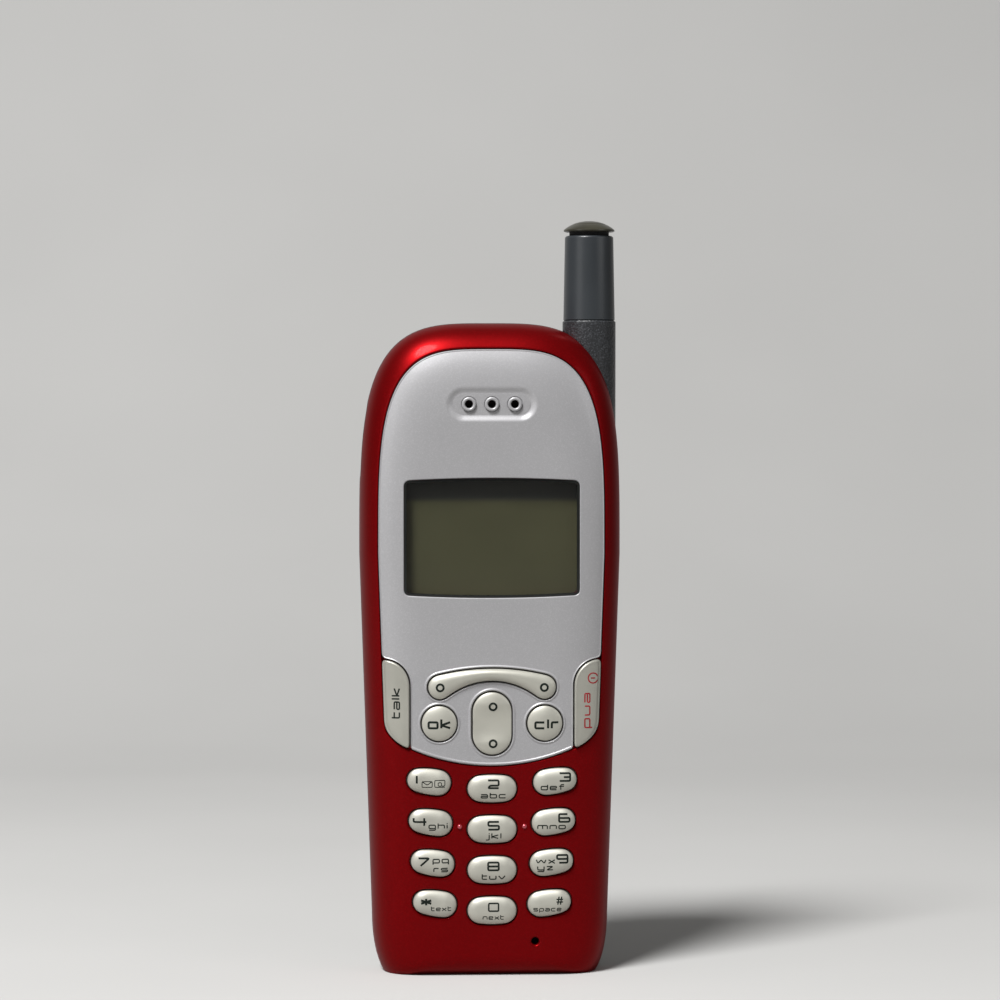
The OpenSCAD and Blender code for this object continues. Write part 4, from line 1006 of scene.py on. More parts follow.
# Strokes of each sign on a grid: pairs of digits are X and height, the base line lies at height 2
SIGNS = {
    "0": "02 52 58 08 02", "1": "22 28", "2": "08 58 54 14 02 52", "3": "08 58 52 02/25 55",
    "4": "08 05 65/58 52", "5": "58 08 05 55 52 02", "6": "48 08 02 52 55 05", "7": "08 58 12",
    "8": "05 08 58 55 05 02 52 55", "9": "55 05 08 58 52 12", "*": "38 34/17 55/15 57",
    "#": "12 28/32 48/04 54/06 56", "a": "06 46 42 02 04 44", "b": "08 02 42 46 06",
    "c": "46 06 02 42", "d": "48 42 02 06 46", "e": "04 44 46 06 02 42", "f": "38 18 12/06 36",
    "g": "42 02 06 46 40 00", "h": "08 02/06 46 42", "i": "16 12/17 18", "j": "26 20 00/27 28",
    "k": "08 02/04 46/04 42", "l": "18 12", "m": "02 06 66 62/36 32", "n": "02 06 46 42",
    "o": "02 42 46 06 02", "p": "00 06 46 42 02", "q": "40 46 06 02 42", "r": "02 06 36",
    "s": "46 06 04 44 42 02", "t": "08 02 32/06 36", "u": "06 02 42 46", "v": "06 22 46",
    "w": "06 12 36 52 66", "x": "02 46/06 42", "y": "06 02 42/46 40 00", "z": "06 46 02 42",
    "@": "43 23 26 46 43 63 68 08 02 62", "envelope": "02 62 67 07 02/07 34 67",
}


def sign_strokes(sign):
    """The sign's strokes as arrays of X and height above its base line, and its width."""
    strokes = [np.array([[int(p[0]), int(p[1]) - 2] for p in part.split()], float)
               for part in SIGNS[sign].split("/")]
    low, high = min(s[:, 0].min() for s in strokes), max(s[:, 0].max() for s in strokes)
    return [s - [low, 0] for s in strokes], high - low


def rounded(points, radius):
    """The polyline with its corners drawn as small curves."""
    closed = np.allclose(points[0], points[-1])
    corners = range(0, len(points) - 1) if closed else range(1, len(points) - 1)
    path = [] if closed else [points[:1]]
    for i in corners:
        here = points[i]
        near = []
        for other in (points[i - 1] if i else points[-2], points[i + 1]):
            length = np.linalg.norm(other - here)
            near.append(here + (other - here) * min(radius, length / 2) / length)
        t = np.linspace(0, 1, 7)[:, None]
        path.append((1 - t) ** 2 * near[0] + 2 * t * (1 - t) * here + t ** 2 * near[1])
    path.append(path[0][:1] if closed else points[-1:])
    return np.vstack(path)


def dense(path, step=0.12):
    length = np.linalg.norm(np.diff(path, axis=0), axis=1).sum()
    return np.vstack([resampled(path, max(2, int(length / step))), path[-1:]])


def ribbon(path, width, tree):
    """A thin printed stroke that lies on a surface, along a path in X and Z."""
    path = dense(path)
    along = np.gradient(path, axis=0)
    along /= np.maximum(np.linalg.norm(along, axis=1), 1e-9)[:, None]
    side = np.c_[-along[:, 1], along[:, 0]] * width / 2
    closed = np.linalg.norm(path[0] - path[-1]) < 1e-6
    rings = []
    for middle, out in zip(path, side):
        (x0, z0), (x1, z1) = middle - out, middle + out
        y0, y1 = surface_y(tree, x0, z0), surface_y(tree, x1, z1)
        rings.append([[x0, y0 - INK, z0], [x1, y1 - INK, z1], [x1, y1 + INK, z1], [x0, y0 + INK, z0]])
    return skin("stroke", rings, caps=not closed, smooth=60)


def surface_y(tree, x, z):
    """Depth of the surface that a ray from the front meets."""
    hit = tree.ray_cast(Vector((x, -40, z)) * MM, Vector((0, 1, 0)))[0]
    return hit.y / MM if hit else KEY_TOP


def surface_of(key):
    return BVHTree.FromObject(key, bpy.context.evaluated_depsgraph_get())


def printed(name, key, lines, turn=0.0):
    """The signs on one key. A line is (signs, middle X, base Z, unit width, unit height, stroke)."""
    tree = surface_of(key)
    c, s = math.cos(turn), math.sin(turn)
    turned_by = np.array([[c, s], [-s, c]])
    strokes = []
    for signs, x, z, unit_x, unit_z, width in lines:
        glyphs = [sign_strokes(sign) for sign in signs]
        total = sum(g[1] for g in glyphs) + SIGN_GAP * (len(glyphs) - 1)
        cursor = -total / 2
        for parts, wide in glyphs:
            for part in parts:
                path = rounded((part + [cursor, 0]) * [unit_x, unit_z], STROKE_ROUND)
                strokes.append(ribbon(path @ turned_by + [x, z], width, tree))
            cursor += wide + SIGN_GAP
    return joined(name, strokes)


def printed_rings(name, key, places, r=0.65, width=0.4):
    """Small printed circles on a key."""
    tree = surface_of(key)
    return joined(name, [ribbon(arc(x, z, r, 0, 360, 41), width, tree) for x, z in places])


# Unit width, unit height and stroke of the signs
DIGIT = (0.4, 0.24, 0.36)
LETTER = (0.3, 0.165, 0.215)
SMALL = (0.195, 0.135, 0.16)
ICON = (0.32, 0.22, 0.15)
ROUND_KEY_SIGN = (0.42, 0.28, 0.41)
TALK_SIGN = (0.345, 0.24, 0.28)
END_SIGN = (0.42, 0.24, 0.26)

# What stands on each number key: signs, their middle X and base Z from the key's middle, and size
KEY_SIGNS = {
    "key_1": [("1", -2.36, -0.25, (0.4, 0.24, 0.38)), (("envelope",), -0.4, -1.0, ICON),
              ("@", 2.0, -1.0, ICON)],
    "key_2": [("2", 0.2, 0.2, DIGIT), ("abc", 0.2, -1.7, LETTER)],
    "key_3": [("3", 1.83, 0.1, DIGIT), ("def", -0.5, -1.6, LETTER)],
    "key_4": [("4", -2.04, -0.55, DIGIT), ("ghi", 1.38, -1.1, LETTER)],
    "key_5": [("5", 0.25, 0.05, DIGIT), ("jkl", 0.22, -1.65, LETTER)],
    "key_6": [("6", 2.02, 0.05, DIGIT), ("mno", -0.4, -1.3, LETTER)],
    "key_7": [("7", -1.7, -0.45, DIGIT), ("pq", 1.5, 0.12, LETTER), ("rs", 1.5, -1.6, LETTER)],
    "key_8": [("8", 0.21, 0.05, DIGIT), ("tuv", 0.25, -1.7, LETTER)],
    "key_9": [("9", 2.02, 0.0, DIGIT), ("wx", -1.16, -0.1, LETTER), ("yz", -1.2, -1.37, LETTER)],
    "key_star": [("*", -1.68, -0.83, (0.48, 0.31, 0.42)), ("text", 1.18, -1.27, SMALL)],
    "key_0": [("0", 0.25, 0.0, (0.37, 0.24, 0.3)), ("next", 0.2, -1.6, SMALL)],
    "key_hash": [("#", 1.95, -0.25, (0.25, 0.25, 0.24)), ("space", -0.38, -1.5, SMALL)],
}


def key_lines(name, x, z):
    return [(signs, x + dx, z + dz, *size) for signs, dx, dz, size in KEY_SIGNS[name]]


# ------------------------------------------------------------------ finishes

class Sock:
    """An output of a shader node that can be worked with like a number or a vector."""

    def __init__(self, graph, source):
        self.graph = graph
        self.source = source

    def math(self, operation, *values):
        return self.graph.node("ShaderNodeMath", {"operation": operation}, dict(enumerate(values)))

    def __add__(self, other):
        return self.math("ADD", self, other)

    def __sub__(self, other):
        return self.math("SUBTRACT", self, other)

    def __mul__(self, other):
        return self.math("MULTIPLY", self, other)

    def __truediv__(self, other):
        return self.math("DIVIDE", self, other)

    def __pow__(self, other):
        return self.math("POWER", self, other)

    def __radd__(self, other):
        return self.math("ADD", other, self)

    def __rsub__(self, other):
        return self.math("SUBTRACT", other, self)

    def __rmul__(self, other):
        return self.math("MULTIPLY", other, self)

    def __rtruediv__(self, other):
        return self.math("DIVIDE", other, self)

    def magnitude(self):
        return self.math("ABSOLUTE", self)

    def at_least(self, low):
        return self.math("MAXIMUM", self, low)

    def step(self, low, high, start=0.0, end=1.0):
        """A smooth change from start to end as the value goes from low to high."""
        return self.graph.node(
            "ShaderNodeMapRange", {"interpolation_type": "SMOOTHSTEP"},
            {"Value": self, "From Min": low, "From Max": high, "To Min": start, "To Max": end})


class Graph:
    """A material and the nodes that feed its Principled shader."""

    def __init__(self, name, **constants):
        self.material = bpy.data.materials.new(name)
        self.material.use_nodes = True
        self.tree = self.material.node_tree
        self.shader = self.tree.nodes["Principled BSDF"]
        self.place = self.node("ShaderNodeTexCoord", output="Object")
        for key, value in constants.items():
            self.shader.inputs[key.replace("_", " ")].default_value = value

    def node(self, kind, settings=None, inputs=None, output=0):
        """Adds a node with its settings, then its values and links, and gives one of its outputs."""
        node = self.tree.nodes.new(kind)
        for key, value in (settings or {}).items():
            setattr(node, key, value)
        for key, value in (inputs or {}).items():
            self.feed(node.inputs[key], value)
        return Sock(self, node.outputs[output])

    def feed(self, socket, value):
        if isinstance(value, Sock):
            self.tree.links.new(value.source, socket)
        else:
            socket.default_value = value

    def noise(self, scale, detail=2.0, stretch=None):
        """Noise from 0 to 1 whose features measure about 1 / scale metres."""
        place = self.place
        if stretch:
            place = self.node("ShaderNodeVectorMath", {"operation": "MULTIPLY"},
                              {0: place, 1: stretch})
        return self.node("ShaderNodeTexNoise", {}, {"Vector": place, "Scale": scale, "Detail": detail})

    def cells(self, scale, output="Color"):
        return self.node("ShaderNodeTexVoronoi", {}, {"Vector": self.place, "Scale": scale}, output)

    def mix(self, factor, a, b):
        """A colour between a and b."""
        return self.node("ShaderNodeMix", {"data_type": "RGBA"}, {0: factor, 6: a, 7: b}, 2)

    def mottled(self, cloud, colour, dark, light, low=0.3, high=0.7):
        """A colour that a noise makes a little darker or lighter."""
        return self.mix(cloud.step(low, high), shade(colour, dark), shade(colour, light))

    def axis(self, name):
        return self.node("ShaderNodeSeparateXYZ", {}, {0: self.place}, name)

    def bump(self, height, strength, distance):
        return self.node("ShaderNodeBump", {},
                         {"Strength": strength, "Distance": distance, "Height": height})

    def set(self, **values):
        for key, value in values.items():
            self.feed(self.shader.inputs[key.replace("_", " ")], value)
        return self.material


def shade(colour, k):
    """A colour made lighter or darker, as four numbers."""
    return (*(min(1.0, c * k) for c in colour[:3]), 1.0)


def metallic_paint(name, colour, flake=0.3, metal=0.75, rough=0.36, coat=1.0):
    """Lacquer over paint with fine metal flakes: each flake has its own brightness and tilt."""
    g = Graph(name, Coat_Weight=coat, Coat_Roughness=0.1, Metallic=metal,
              Specular_Tint=shade(colour, 2.5))
    flakes = g.cells(7000)
    value = g.node("ShaderNodeSeparateColor", {}, {0: flakes}, "Red")
    cloud = g.noise(60, 3)
    tone = value.step(0.55, 1, 0, flake) + cloud * 0.12
    return g.set(
        Base_Color=g.mix(tone, shade(colour, 0.9), shade(colour, 1.7)),
        Roughness=rough + cloud * 0.05,
        Normal=g.bump(g.noise(5200, 1), 0.06, 0.00004))


def moulded(name, colour, rough=0.5, grain=0.00003, scale=2600, strength=0.35, painted_glints=0.0, **constants):
    """Moulded plastic or rubber: fine grain, slightly uneven gloss and, if asked, painted glints:
    bright specks in the colour for light caught by the grain.
    """
    g = Graph(name, **constants)
    cloud, fine = g.noise(45, 4), g.noise(scale, 2)
    body = g.mottled(cloud, colour, 0.88, 1.12)
    if painted_glints:
        # Bright specks painted into the colour: painted glints of the grain.
        body = g.mix(g.noise(3600, 1).step(0.52, 0.66) * painted_glints, body, shade(colour, 6))
    return g.set(
        Base_Color=body,
        Roughness=rough + (cloud - 0.5) * 0.12,
        Normal=g.bump(fine, strength, grain))


def cap_finish(name, colour):
    """Worn glossy plastic on the dome; the dull neck below it is painted near black, as painted shade
    under the dome.
    """
    g = Graph(name)
    dome = g.axis("Z").step((CAP_RIM_Z - 0.1) * MM, (CAP_RIM_Z + 0.02) * MM)
    cloud, fine = g.noise(300, 4), g.noise(3000, 2)
    worn = g.mottled(cloud, colour, 0.85, 1.2)
    return g.set(
        # Below the dome's rim the colour goes to near black: painted shade on the neck under the cap.
        Base_Color=g.mix(dome, (0.003, 0.003, 0.003, 1), worn),
        Roughness=0.85 - dome * 0.58 + cloud * 0.08,
        Normal=g.bump(fine, 0.15, 0.00002))


def metal(name, colour):
    """Drawn or pressed metal with fine lines along Z and some dulled places."""
    g = Graph(name, Metallic=1.0)
    lines, cloud = g.noise(2500, 2, stretch=(1, 1, 0.05)), g.noise(120, 4)
    return g.set(
        Base_Color=g.mottled(cloud, colour, 0.88, 1.05, 0.35, 0.75),
        Roughness=0.3 + lines * 0.12 + cloud * 0.06,
        Normal=g.bump(lines, 0.12, 0.00002))


def key_paint(name, colour, foot=KEY_TOP + 1.6):
    """Satin metallic paint with painted shade low down on the key's wall, where Y nears its foot,
    inside the gap round the key.
    """
    g = Graph(name, Metallic=0.5, Coat_Weight=0.15, Coat_Roughness=0.3)
    cloud, fine = g.noise(150, 4), g.noise(5000, 1)
    # depth grows from the face towards the foot; there the wall's colour darkens as painted shade in
    # the gap round the key.
    depth = g.axis("Y").step((foot - 0.6) * MM, foot * MM)
    unshaded = g.mottled(cloud, colour, 0.96, 1.05)
    return g.set(
        Base_Color=g.mix(depth, unshaded, shade(colour, 0.45)),
        Roughness=0.4 + cloud * 0.1,
        Normal=g.bump(fine, 0.2, 0.00002))


def print_ink(name, colour):
    g = Graph(name, Specular_IOR_Level=0.15)
    cloud = g.noise(1400, 3)
    return g.set(
        Base_Color=g.mottled(cloud, colour, 0.85, 1.35, 0.3, 0.8),
        Roughness=0.5 + cloud * 0.15)


def display_glass(name, colour):
    """A switched-off liquid crystal: dull olive, a faint grid of points and a dark grey band on top,
    the display's border with the window edge's shadow painted into it.
    """
    g = Graph(name, Specular_IOR_Level=0.35)
    x, z = g.axis("X"), g.axis("Z")
    half = 0.00016
    across, up = (g.node("ShaderNodeMath", {"operation": "PINGPONG"}, {0: way, 1: half}) / half
                  for way in (x, z))
    lines = across.step(0.0, 0.25, 1, 0) + up.step(0.0, 0.25, 1, 0)
    cloud = g.noise(70, 2)
    top = (WINDOW_Z + WINDOW_HALF_H) * MM
    # The band on top is partly the display's own dark border and partly painted shadow from the
    # window's edge.
    band = z.step(top - 0.0044, top - 0.0030)
    olive = g.mottled(cloud, colour, 0.92, 1.08, 0.2, 0.8)
    ground = g.mix(band * 0.85, olive, (0.05, 0.05, 0.052, 1))
    return g.set(
        Base_Color=g.mix(lines * 0.03, ground, shade(colour, 0.4)),
        Roughness=0.3 + cloud * 0.05)


def clear_lens(name, border=0.5):
    """Clear acrylic with a black line printed along its edge and a few faint scuffs."""
    g = Graph(name, IOR=1.49)
    x, z, r = g.axis("X"), g.axis("Z") - WINDOW_Z * MM, WINDOW_CORNER_R
    scuff = g.noise(400, 3, stretch=(1, 1, 0.08))
    bow = (1 - x * x / (WINDOW_HALF_W * MM) ** 2) * (WINDOW_BOW * MM)
    side = (x.magnitude() - (WINDOW_HALF_W - r) * MM).at_least(0)
    rise = (z.magnitude() - bow - (WINDOW_HALF_H - r) * MM).at_least(0)
    reach = (side * side + rise * rise) ** 0.5
    edge_line = reach.step((r - border) * MM, (r - border * 0.7) * MM)
    return g.set(
        Base_Color=(0.012, 0.013, 0.012, 1),
        Alpha=edge_line * 0.8 + 0.2,
        Roughness=0.06 + scuff.step(0.55, 0.8, 0, 0.04))


def board_finish(name, colour):
    """Solder resist with traces under it and small bright pads."""
    g = Graph(name, Coat_Weight=0.4, Coat_Roughness=0.2)
    traces = g.node("ShaderNodeTexBrick", {"offset": 0.35}, {
        "Vector": g.place, "Scale": 420, "Mortar Size": 0.03, "Color1": shade(colour, 1),
        "Color2": shade(colour, 1.35), "Mortar": shade(colour, 2.2)})
    dots = g.cells(900, "Distance")
    return g.set(Base_Color=g.mix(dots.step(0.06, 0.09, 1, 0), traces, (0.55, 0.5, 0.35, 1)),
                 Metallic=dots.step(0.06, 0.09, 0.8, 0), Roughness=0.4 + g.noise(300) * 0.1)


def cell_wrap(name):
    """Printed wrap: a pale label band on blue film."""
    g = Graph(name, Coat_Weight=0.5, Coat_Roughness=0.15)
    z, cloud = g.axis("Z"), g.noise(90, 3)
    band = z.step(0.030, 0.031) * z.step(0.066, 0.067, 1, 0)
    return g.set(Base_Color=g.mix(band, (0.05, 0.08, 0.22, 1), (0.6, 0.6, 0.58, 1)),
                 Roughness=0.35 + cloud * 0.1)


def make_finishes(look):
    """Every finish of the phone by the name of its slot, or by the name of a piece."""
    return {
        "red_shell": metallic_paint("candy_red", look.shell, metal=0.6, coat=0.04),
        "silver_fascia": metallic_paint(
            "pearl_silver", look.fascia, flake=0.14, metal=0.35, rough=0.4, coat=0.2),
        "key_silver": key_paint("key_satin", look.keys),
        # The talk and end keys take the key paint made darker: painted shade for their outward tilt.
        "side_key": key_paint("side_key_shaded_satin", shade(look.keys, 0.82), SEAM_Y - 3),
        # The nibs take a lighter red than the shell, as a painted highlight, over a real glossy coat.
        "nib_painted_highlight": metallic_paint("nib_painted_highlight", (0.45, 0.06, 0.08), metal=0.5, rough=0.25),
        "charcoal_shell": moulded(
            "charcoal_grain", look.plastic, 0.38, 0.0002, 2000, 0.9, painted_glints=0.4, Specular_IOR_Level=0.4),
        "antenna_plastic": moulded(
            "antenna_satin", (0.026, 0.03, 0.034), 0.34, 0.00002, 4000, 0.12),
        "cap_plastic": cap_finish("cap_brown", (0.033, 0.031, 0.021)),
        "charcoal_rubber": moulded("flap_rubber", (0.03, 0.03, 0.033), 0.7, 0.00004, 3000, 0.3),
        "black_rubber": moulded("black_rubber", (0.018, 0.018, 0.018), 0.75),
        "foam": moulded("foam", (0.02, 0.02, 0.022), 0.95, 0.0001, 2200, 0.8),
        "silicone": moulded("silicone_mat", (0.34, 0.33, 0.3), 0.6, Subsurface_Weight=0.05),
        "white_plastic": moulded("white_plastic", (0.62, 0.61, 0.58), 0.4),
        "black_plastic": moulded("black_plastic", (0.022, 0.022, 0.024), 0.42),
        "steel_parts": metal("steel", (0.52, 0.53, 0.54)),
        "brass_parts": metal("brass", (0.72, 0.55, 0.26)),
        "board": board_finish("board_green", (0.012, 0.07, 0.03)),
        "display": display_glass("display_olive", look.display),
        "lens": clear_lens("clear_lens"),
        "cell": cell_wrap("cell_wrap"),
        "ink": print_ink("ink_green_grey", (0.010, 0.014, 0.011)),
        "red_ink": print_ink("ink_red", (0.35, 0.03, 0.035)),
    }


# ------------------------------------------------------------------ stage

def build_floor():
    """A pale sheet that runs back under the phone and curves up behind it."""
    bend_y, bend_r, half_w, sunk = 350, 450, 2200, 0.02
    path = [(-1600, 0), (-400, 0)]
    path += [(bend_y + bend_r * math.sin(a), bend_r - bend_r * math.cos(a))
             for a in np.linspace(0, math.pi / 2, 12)]
    path.append((bend_y + bend_r, 2400))
    rows = [[(x, y, z - sunk) for x in (-half_w, half_w)] for y, z in path]
    deselect()
    bpy.ops.mesh.primitive_grid_add(x_subdivisions=1, y_subdivisions=len(rows) - 1)
    floor = named("floor")
    place_vertices(floor, np.array(rows).reshape(-1, 3))
    bpy.ops.object.shade_smooth_by_angle(angle=math.radians(40))
    return floor


def floor_finish():
    """Pale where it is seen, directly, mirrored or through glass; darker where it lights the phone."""
    g = Graph("pale_ground", Specular_IOR_Level=0.2)
    cloud = g.noise(6, 3)
    direct, mirrored, through = (g.node("ShaderNodeLightPath", {}, {}, f"Is {ray} Ray")
                                 for ray in ("Camera", "Glossy", "Transmission"))
    pale = g.mottled(cloud, STAGE_COLOUR, 0.98, 1.02)
    return g.set(
        Base_Color=g.mix(direct + mirrored + through, shade(STAGE_COLOUR, STAGE_BOUNCE), pale),
        Roughness=0.75 + cloud * 0.1)


def staged(name, data, place, aim):
    """A new light or camera at a place, looking at a point, both in millimetres."""
    thing = bpy.data.objects.new(name, data)
    bpy.context.scene.collection.objects.link(thing)
    thing.location = Vector(place) * MM
    thing.rotation_mode = "QUATERNION"
    thing.rotation_quaternion = (Vector(aim) - Vector(place)).to_track_quat("-Z", "Y")
    return thing


def soft_light(name, place, size, power):
    """A round area light aimed at the middle of the phone."""
    data = bpy.data.lights.new(name, "AREA")
    data.shape, data.size, data.energy = "DISK", size * MM, power
    return staged(name, data, place, (0, 0, 70))


def build_camera(lens):
    data = bpy.data.cameras.new("camera")
    data.lens, data.sensor_width = lens, 36
    data.clip_start, data.clip_end = 0.01, 20
    return staged("camera", data, CAMERA_PLACE, CAMERA_AIM)


def set_world(scene, brightness):
    world = bpy.data.worlds.new("sky")
    scene.world = world
    world.use_nodes = True
    background = world.node_tree.nodes["Background"]
    background.inputs["Color"].default_value = (1.0, 0.99, 0.97, 1)
    background.inputs["Strength"].default_value = brightness


# ------------------------------------------------------------------ settings

class PhoneShape(bpy.types.PropertyGroup):
    lip_reach: FloatProperty(
        name="Key hole rounding", description="Width of the rounded edge of a number key's hole",
        default=0.00045, min=0.0003, max=0.0009, unit="LENGTH", precision=5)
    lip_drop: FloatProperty(
        name="Key hole drop", description="Depth of that rounded edge",
        default=0.00035, min=0.0002, max=0.001, unit="LENGTH", precision=5)
    key_crown: FloatProperty(
        name="Key crown", description="How far the top of a number key swells over its edge",
        default=0.00095, min=0.0002, max=0.001, unit="LENGTH", precision=5)
    side_key_edge: FloatProperty(
        name="Side key edge", description="Rounding of the edge of the talk and end keys",
        default=0.00035, min=0.0001, max=0.0005, unit="LENGTH", precision=5)


class PhoneColours(bpy.types.PropertyGroup):
    shell: FloatVectorProperty(
        name="Shell", description="Lacquer of the front cover", subtype="COLOR", size=3,
        default=(0.17, 0.002, 0.003), min=0, max=1)
    fascia: FloatVectorProperty(
        name="Fascia", description="Paint of the fascia", subtype="COLOR", size=3,
        default=(0.42, 0.415, 0.425), min=0, max=1)
    keys: FloatVectorProperty(
        name="Keys", description="Paint of the keys", subtype="COLOR", size=3,
        default=(0.50, 0.49, 0.43), min=0, max=1)
    plastic: FloatVectorProperty(
        name="Rear plastic", description="Plastic of the rear housing and the battery",
        subtype="COLOR", size=3, default=(0.018, 0.019, 0.021), min=0, max=1)
    display: FloatVectorProperty(
        name="Display", description="Ground of the switched-off display",
        subtype="COLOR", size=3, default=(0.12, 0.117, 0.062), min=0, max=1)


class PhoneStage(bpy.types.PropertyGroup):
    key_light: FloatProperty(
        name="Key light", description="Power of the large light above the camera",
        default=27.0, min=0, unit="POWER")
    fill_light: FloatProperty(
        name="Fill light", description="Power of the light from the left",
        default=0.8, min=0, unit="POWER")
    rim_light: FloatProperty(
        name="Rim light", description="Power of the light from the right",
        default=0.8, min=0, unit="POWER")
    sky: FloatProperty(
        name="Sky", description="Brightness of the pale surroundings", default=0.16, min=0, max=2)
    lens: FloatProperty(
        name="Lens", description="Focal length of the camera in millimetres",
        default=124.05, min=20, max=200)


# ------------------------------------------------------------------ operators

FINISHES = {}


def finish(piece, body, slot, *nodes, paint=None):
    """Paints a piece, lets it ride on a body and hides the CAD nodes that it stands for."""
    piece.data.materials.clear()
    piece.data.materials.append(FINISHES[paint or slot])
    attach(piece, body)
    slot in RECORD_SLOTS
    if nodes:
        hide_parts(*nodes)
    return piece


# The earpiece speaker and the microphone take the black foam finish instead of their own, so that the
# holes in front of them stay dark: painted shade.
NODE_FINISHES = {"earpiece_speaker": "foam", "microphone": "foam"}
NODE_SLOTS = {part["node"]: part["material_slot"] for part in frame["record"]["subparts"]}
RECORD_SLOTS = set(NODE_SLOTS.values())


class PHONE_OT_finishes(bpy.types.Operator):
    """Make the finishes and give them to the pieces that the frame brings along"""
    bl_idname = "phone.finishes"
    bl_label = "Finishes and inner pieces"

    def execute(self, context):
        FINISHES.update(make_finishes(context.scene.phone_colours))
        for name, node in frame["nodes"].items():
            material = FINISHES[NODE_FINISHES.get(name, NODE_SLOTS[name])]
            if not node.data.materials:
                node.data.materials.append(material)
            for slot in node.material_slots:
                slot.material = material
        return {"FINISHED"}


class PHONE_OT_front_cover(bpy.types.Operator):
    """Build the red front cover with its rounded key holes"""
    bl_idname = "phone.front_cover"
    bl_label = "Front cover"

    def execute(self, context):
        finish(build_front_cover(context.scene.phone_shape), "casing", "red_shell", "front_cover")
        finish(build_nibs(), "casing", "red_shell", paint="nib_painted_highlight")
        return {"FINISHED"}


class PHONE_OT_fascia(bpy.types.Operator):
    """Build the silver fascia and the foam round the display"""
    bl_idname = "phone.fascia"
    bl_label = "Fascia"

    def execute(self, context):
        finish(build_fascia(), "casing", "silver_fascia", "fascia")
        finish(build_display_surround(), "casing", "foam", "lens_gasket")
        return {"FINISHED"}


class PHONE_OT_rear_housing(bpy.types.Operator):
    """Build the rear housing with the antenna barrel"""
    bl_idname = "phone.rear_housing"
    bl_label = "Rear housing"

    def execute(self, context):
        finish(build_rear_housing(), "casing", "charcoal_shell", "rear_housing")
        return {"FINISHED"}


class PHONE_OT_battery(bpy.types.Operator):
    """Build the shell of the battery pack"""
    bl_idname = "phone.battery"
    bl_label = "Battery shell"

    def execute(self, context):
        finish(build_battery_shell(), "battery_pack", "charcoal_shell", "battery_shell")
        return {"FINISHED"}


class PHONE_OT_antenna(bpy.types.Operator):
    """Build the antenna's sleeve and cap"""
    bl_idname = "phone.antenna"
    bl_label = "Antenna"

    def execute(self, context):
        finish(build_sleeve(), "casing", "antenna_plastic", "antenna_sleeve")
        finish(build_cap(), "antenna", "cap_plastic", "antenna_cap")
        return {"FINISHED"}


class PHONE_OT_number_keys(bpy.types.Operator):
    """Build the twelve number keys with their signs"""
    bl_idname = "phone.number_keys"
    bl_label = "Number keys"

    def execute(self, context):
        shape = context.scene.phone_shape
        for name, column, row in all_number_keys():
            key = build_number_key(name + "_cap", column, row, shape)
            x, z = number_place(column, row)
            signs = printed(name + "_print", key, key_lines(name, x, z))
            finish(key, name + "_body", "key_silver", name)
            finish(signs, name + "_body", "ink")
        return {"FINISHED"}


class PHONE_OT_control_keys(bpy.types.Operator):
    """Build the two round keys, the rocker and the soft-key bar"""
    bl_idname = "phone.control_keys"
    bl_label = "Control keys"

    def execute(self, context):
        shape = context.scene.phone_shape
        for name, side, signs, x, z in (
                ("ok_key", -1, "ok", 0, -0.8), ("clear_key", 1, "clr", 0.35, -0.9)):
            key = build_round_key(name + "_cap", side, shape)
            lines = [(signs, side * ROUND_KEY_X + x, CONTROL_Z + z, *ROUND_KEY_SIGN)]
            ink = printed(name + "_print", key, lines)
            finish(key, name + "_body", "key_silver", name)
            finish(ink, name + "_body", "ink")
        nav = build_nav_key()
        rings = printed_rings("nav_print", nav, [(0.15, CONTROL_Z + 3.2), (0.15, CONTROL_Z - 3.8)])
        finish(nav, "nav_rocker", "key_silver", "nav_key")
        finish(rings, "nav_rocker", "ink")
        bar = build_soft_bar()
        rings = printed_rings("soft_bar_print", bar, [(-BAR_X, BAR_Z), (BAR_X, BAR_Z)])
        finish(bar, "soft_rocker", "key_silver", "soft_key_bar")
        finish(rings, "soft_rocker", "ink")
        return {"FINISHED"}


class PHONE_OT_side_keys(bpy.types.Operator):
    """Build the talk and end keys"""
    bl_idname = "phone.side_keys"
    bl_label = "Side keys"

    def execute(self, context):
        shape = context.scene.phone_shape
        upwards, downwards = math.pi / 2, -math.pi / 2
        talk = build_side_key("talk_key_cap", -1, shape)
        lines = [("talk", -17.55, CONTROL_Z + 3.9, *TALK_SIGN)]
        signs = printed("talk_key_print", talk, lines, upwards)
        finish(talk, "talk_key_body", "key_silver", "talk_key", paint="side_key")
        finish(signs, "talk_key_body", "ink")
        end = build_side_key("end_key_cap", 1, shape)
        signs = printed("end_key_print", end, [("end", 17.6, CONTROL_Z + 2.35, *END_SIGN)], downwards)
        power_z, power_stroke = CONTROL_Z + 8.5, 0.24
        power = printed_rings("end_key_power", end, [(19.2, power_z)], r=0.95, width=power_stroke)
        dash = printed("end_key_dash", end, [("1", 18.78, power_z, 0, 0.14, power_stroke)], downwards)
        finish(end, "end_key_body", "key_silver", "end_key", paint="side_key")
        finish(joined("end_key_print", [signs, power, dash]), "end_key_body", "red_ink")
        return {"FINISHED"}


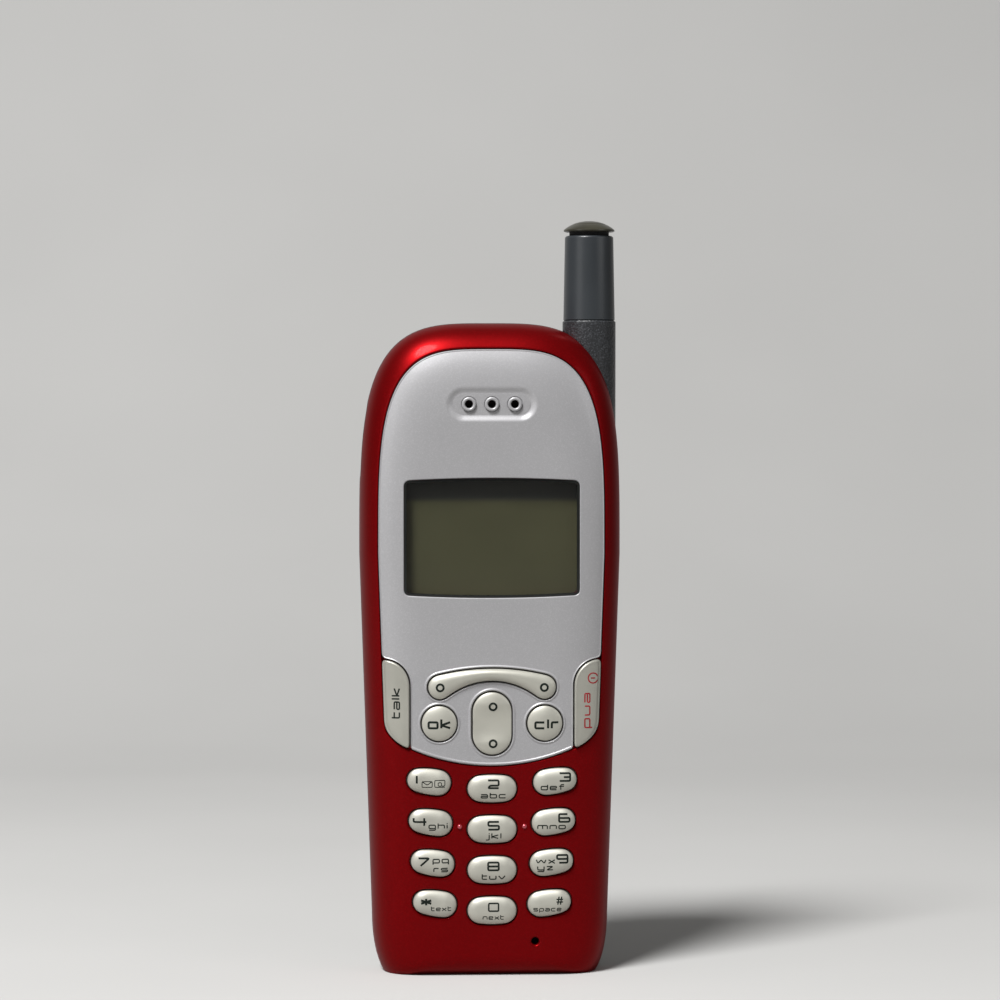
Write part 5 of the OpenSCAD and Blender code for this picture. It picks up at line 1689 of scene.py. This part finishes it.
class PHONE_OT_stage(bpy.types.Operator):
    """Build the pale floor, the lights and the camera"""
    bl_idname = "phone.stage"
    bl_label = "Stage"

    def execute(self, context):
        settings, scene = context.scene.phone_stage, context.scene
        floor = build_floor()
        floor.data.materials.append(floor_finish())
        lights = [
            soft_light("key_light", (-440, -620, 1170), 420, settings.key_light),
            soft_light("fill_light", (-700, -600, 300), 500, settings.fill_light),
            soft_light("rim_light", (700, -500, 400), 500, settings.rim_light),
        ]
        camera = build_camera(settings.lens)
        scene.camera = camera
        set_world(scene, settings.sky)
        scene.view_settings.view_transform = "Standard"
        return {"FINISHED"}


OPERATORS = (
    PHONE_OT_finishes, PHONE_OT_front_cover, PHONE_OT_fascia, PHONE_OT_rear_housing,
    PHONE_OT_battery, PHONE_OT_antenna, PHONE_OT_number_keys, PHONE_OT_control_keys,
    PHONE_OT_side_keys, PHONE_OT_stage,
)


class PHONE_PT_panel(bpy.types.Panel):
    """Settings and pieces of the phone"""
    bl_idname = "PHONE_PT_panel"
    bl_label = "Bar phone"
    bl_space_type = "VIEW_3D"
    bl_region_type = "UI"
    bl_category = "Phone"

    def draw(self, context):
        for name in GROUPS:
            group = getattr(context.scene, name)
            column = self.layout.column(align=True)
            for key in group.__annotations__:
                column.prop(group, key)
        for operator in OPERATORS:
            self.layout.operator(operator.bl_idname)


GROUPS = {"phone_shape": PhoneShape, "phone_colours": PhoneColours, "phone_stage": PhoneStage}


def register():
    for item in (*GROUPS.values(), *OPERATORS, PHONE_PT_panel):
        bpy.utils.register_class(item)
    for name, group in GROUPS.items():
        setattr(bpy.types.Scene, name, PointerProperty(type=group))


def unregister():
    for name in GROUPS:
        delattr(bpy.types.Scene, name)
    for item in (PHONE_PT_panel, *OPERATORS[::-1], *GROUPS.values()):
        bpy.utils.unregister_class(item)


def main():
    register()
    for operator in OPERATORS:
        section, name = operator.bl_idname.split(".")
        result = getattr(getattr(bpy.ops, section), name)()
        if result != {"FINISHED"}:
            raise RuntimeError(operator.bl_idname + " did not finish")


if __name__ == "__main__":
    main()
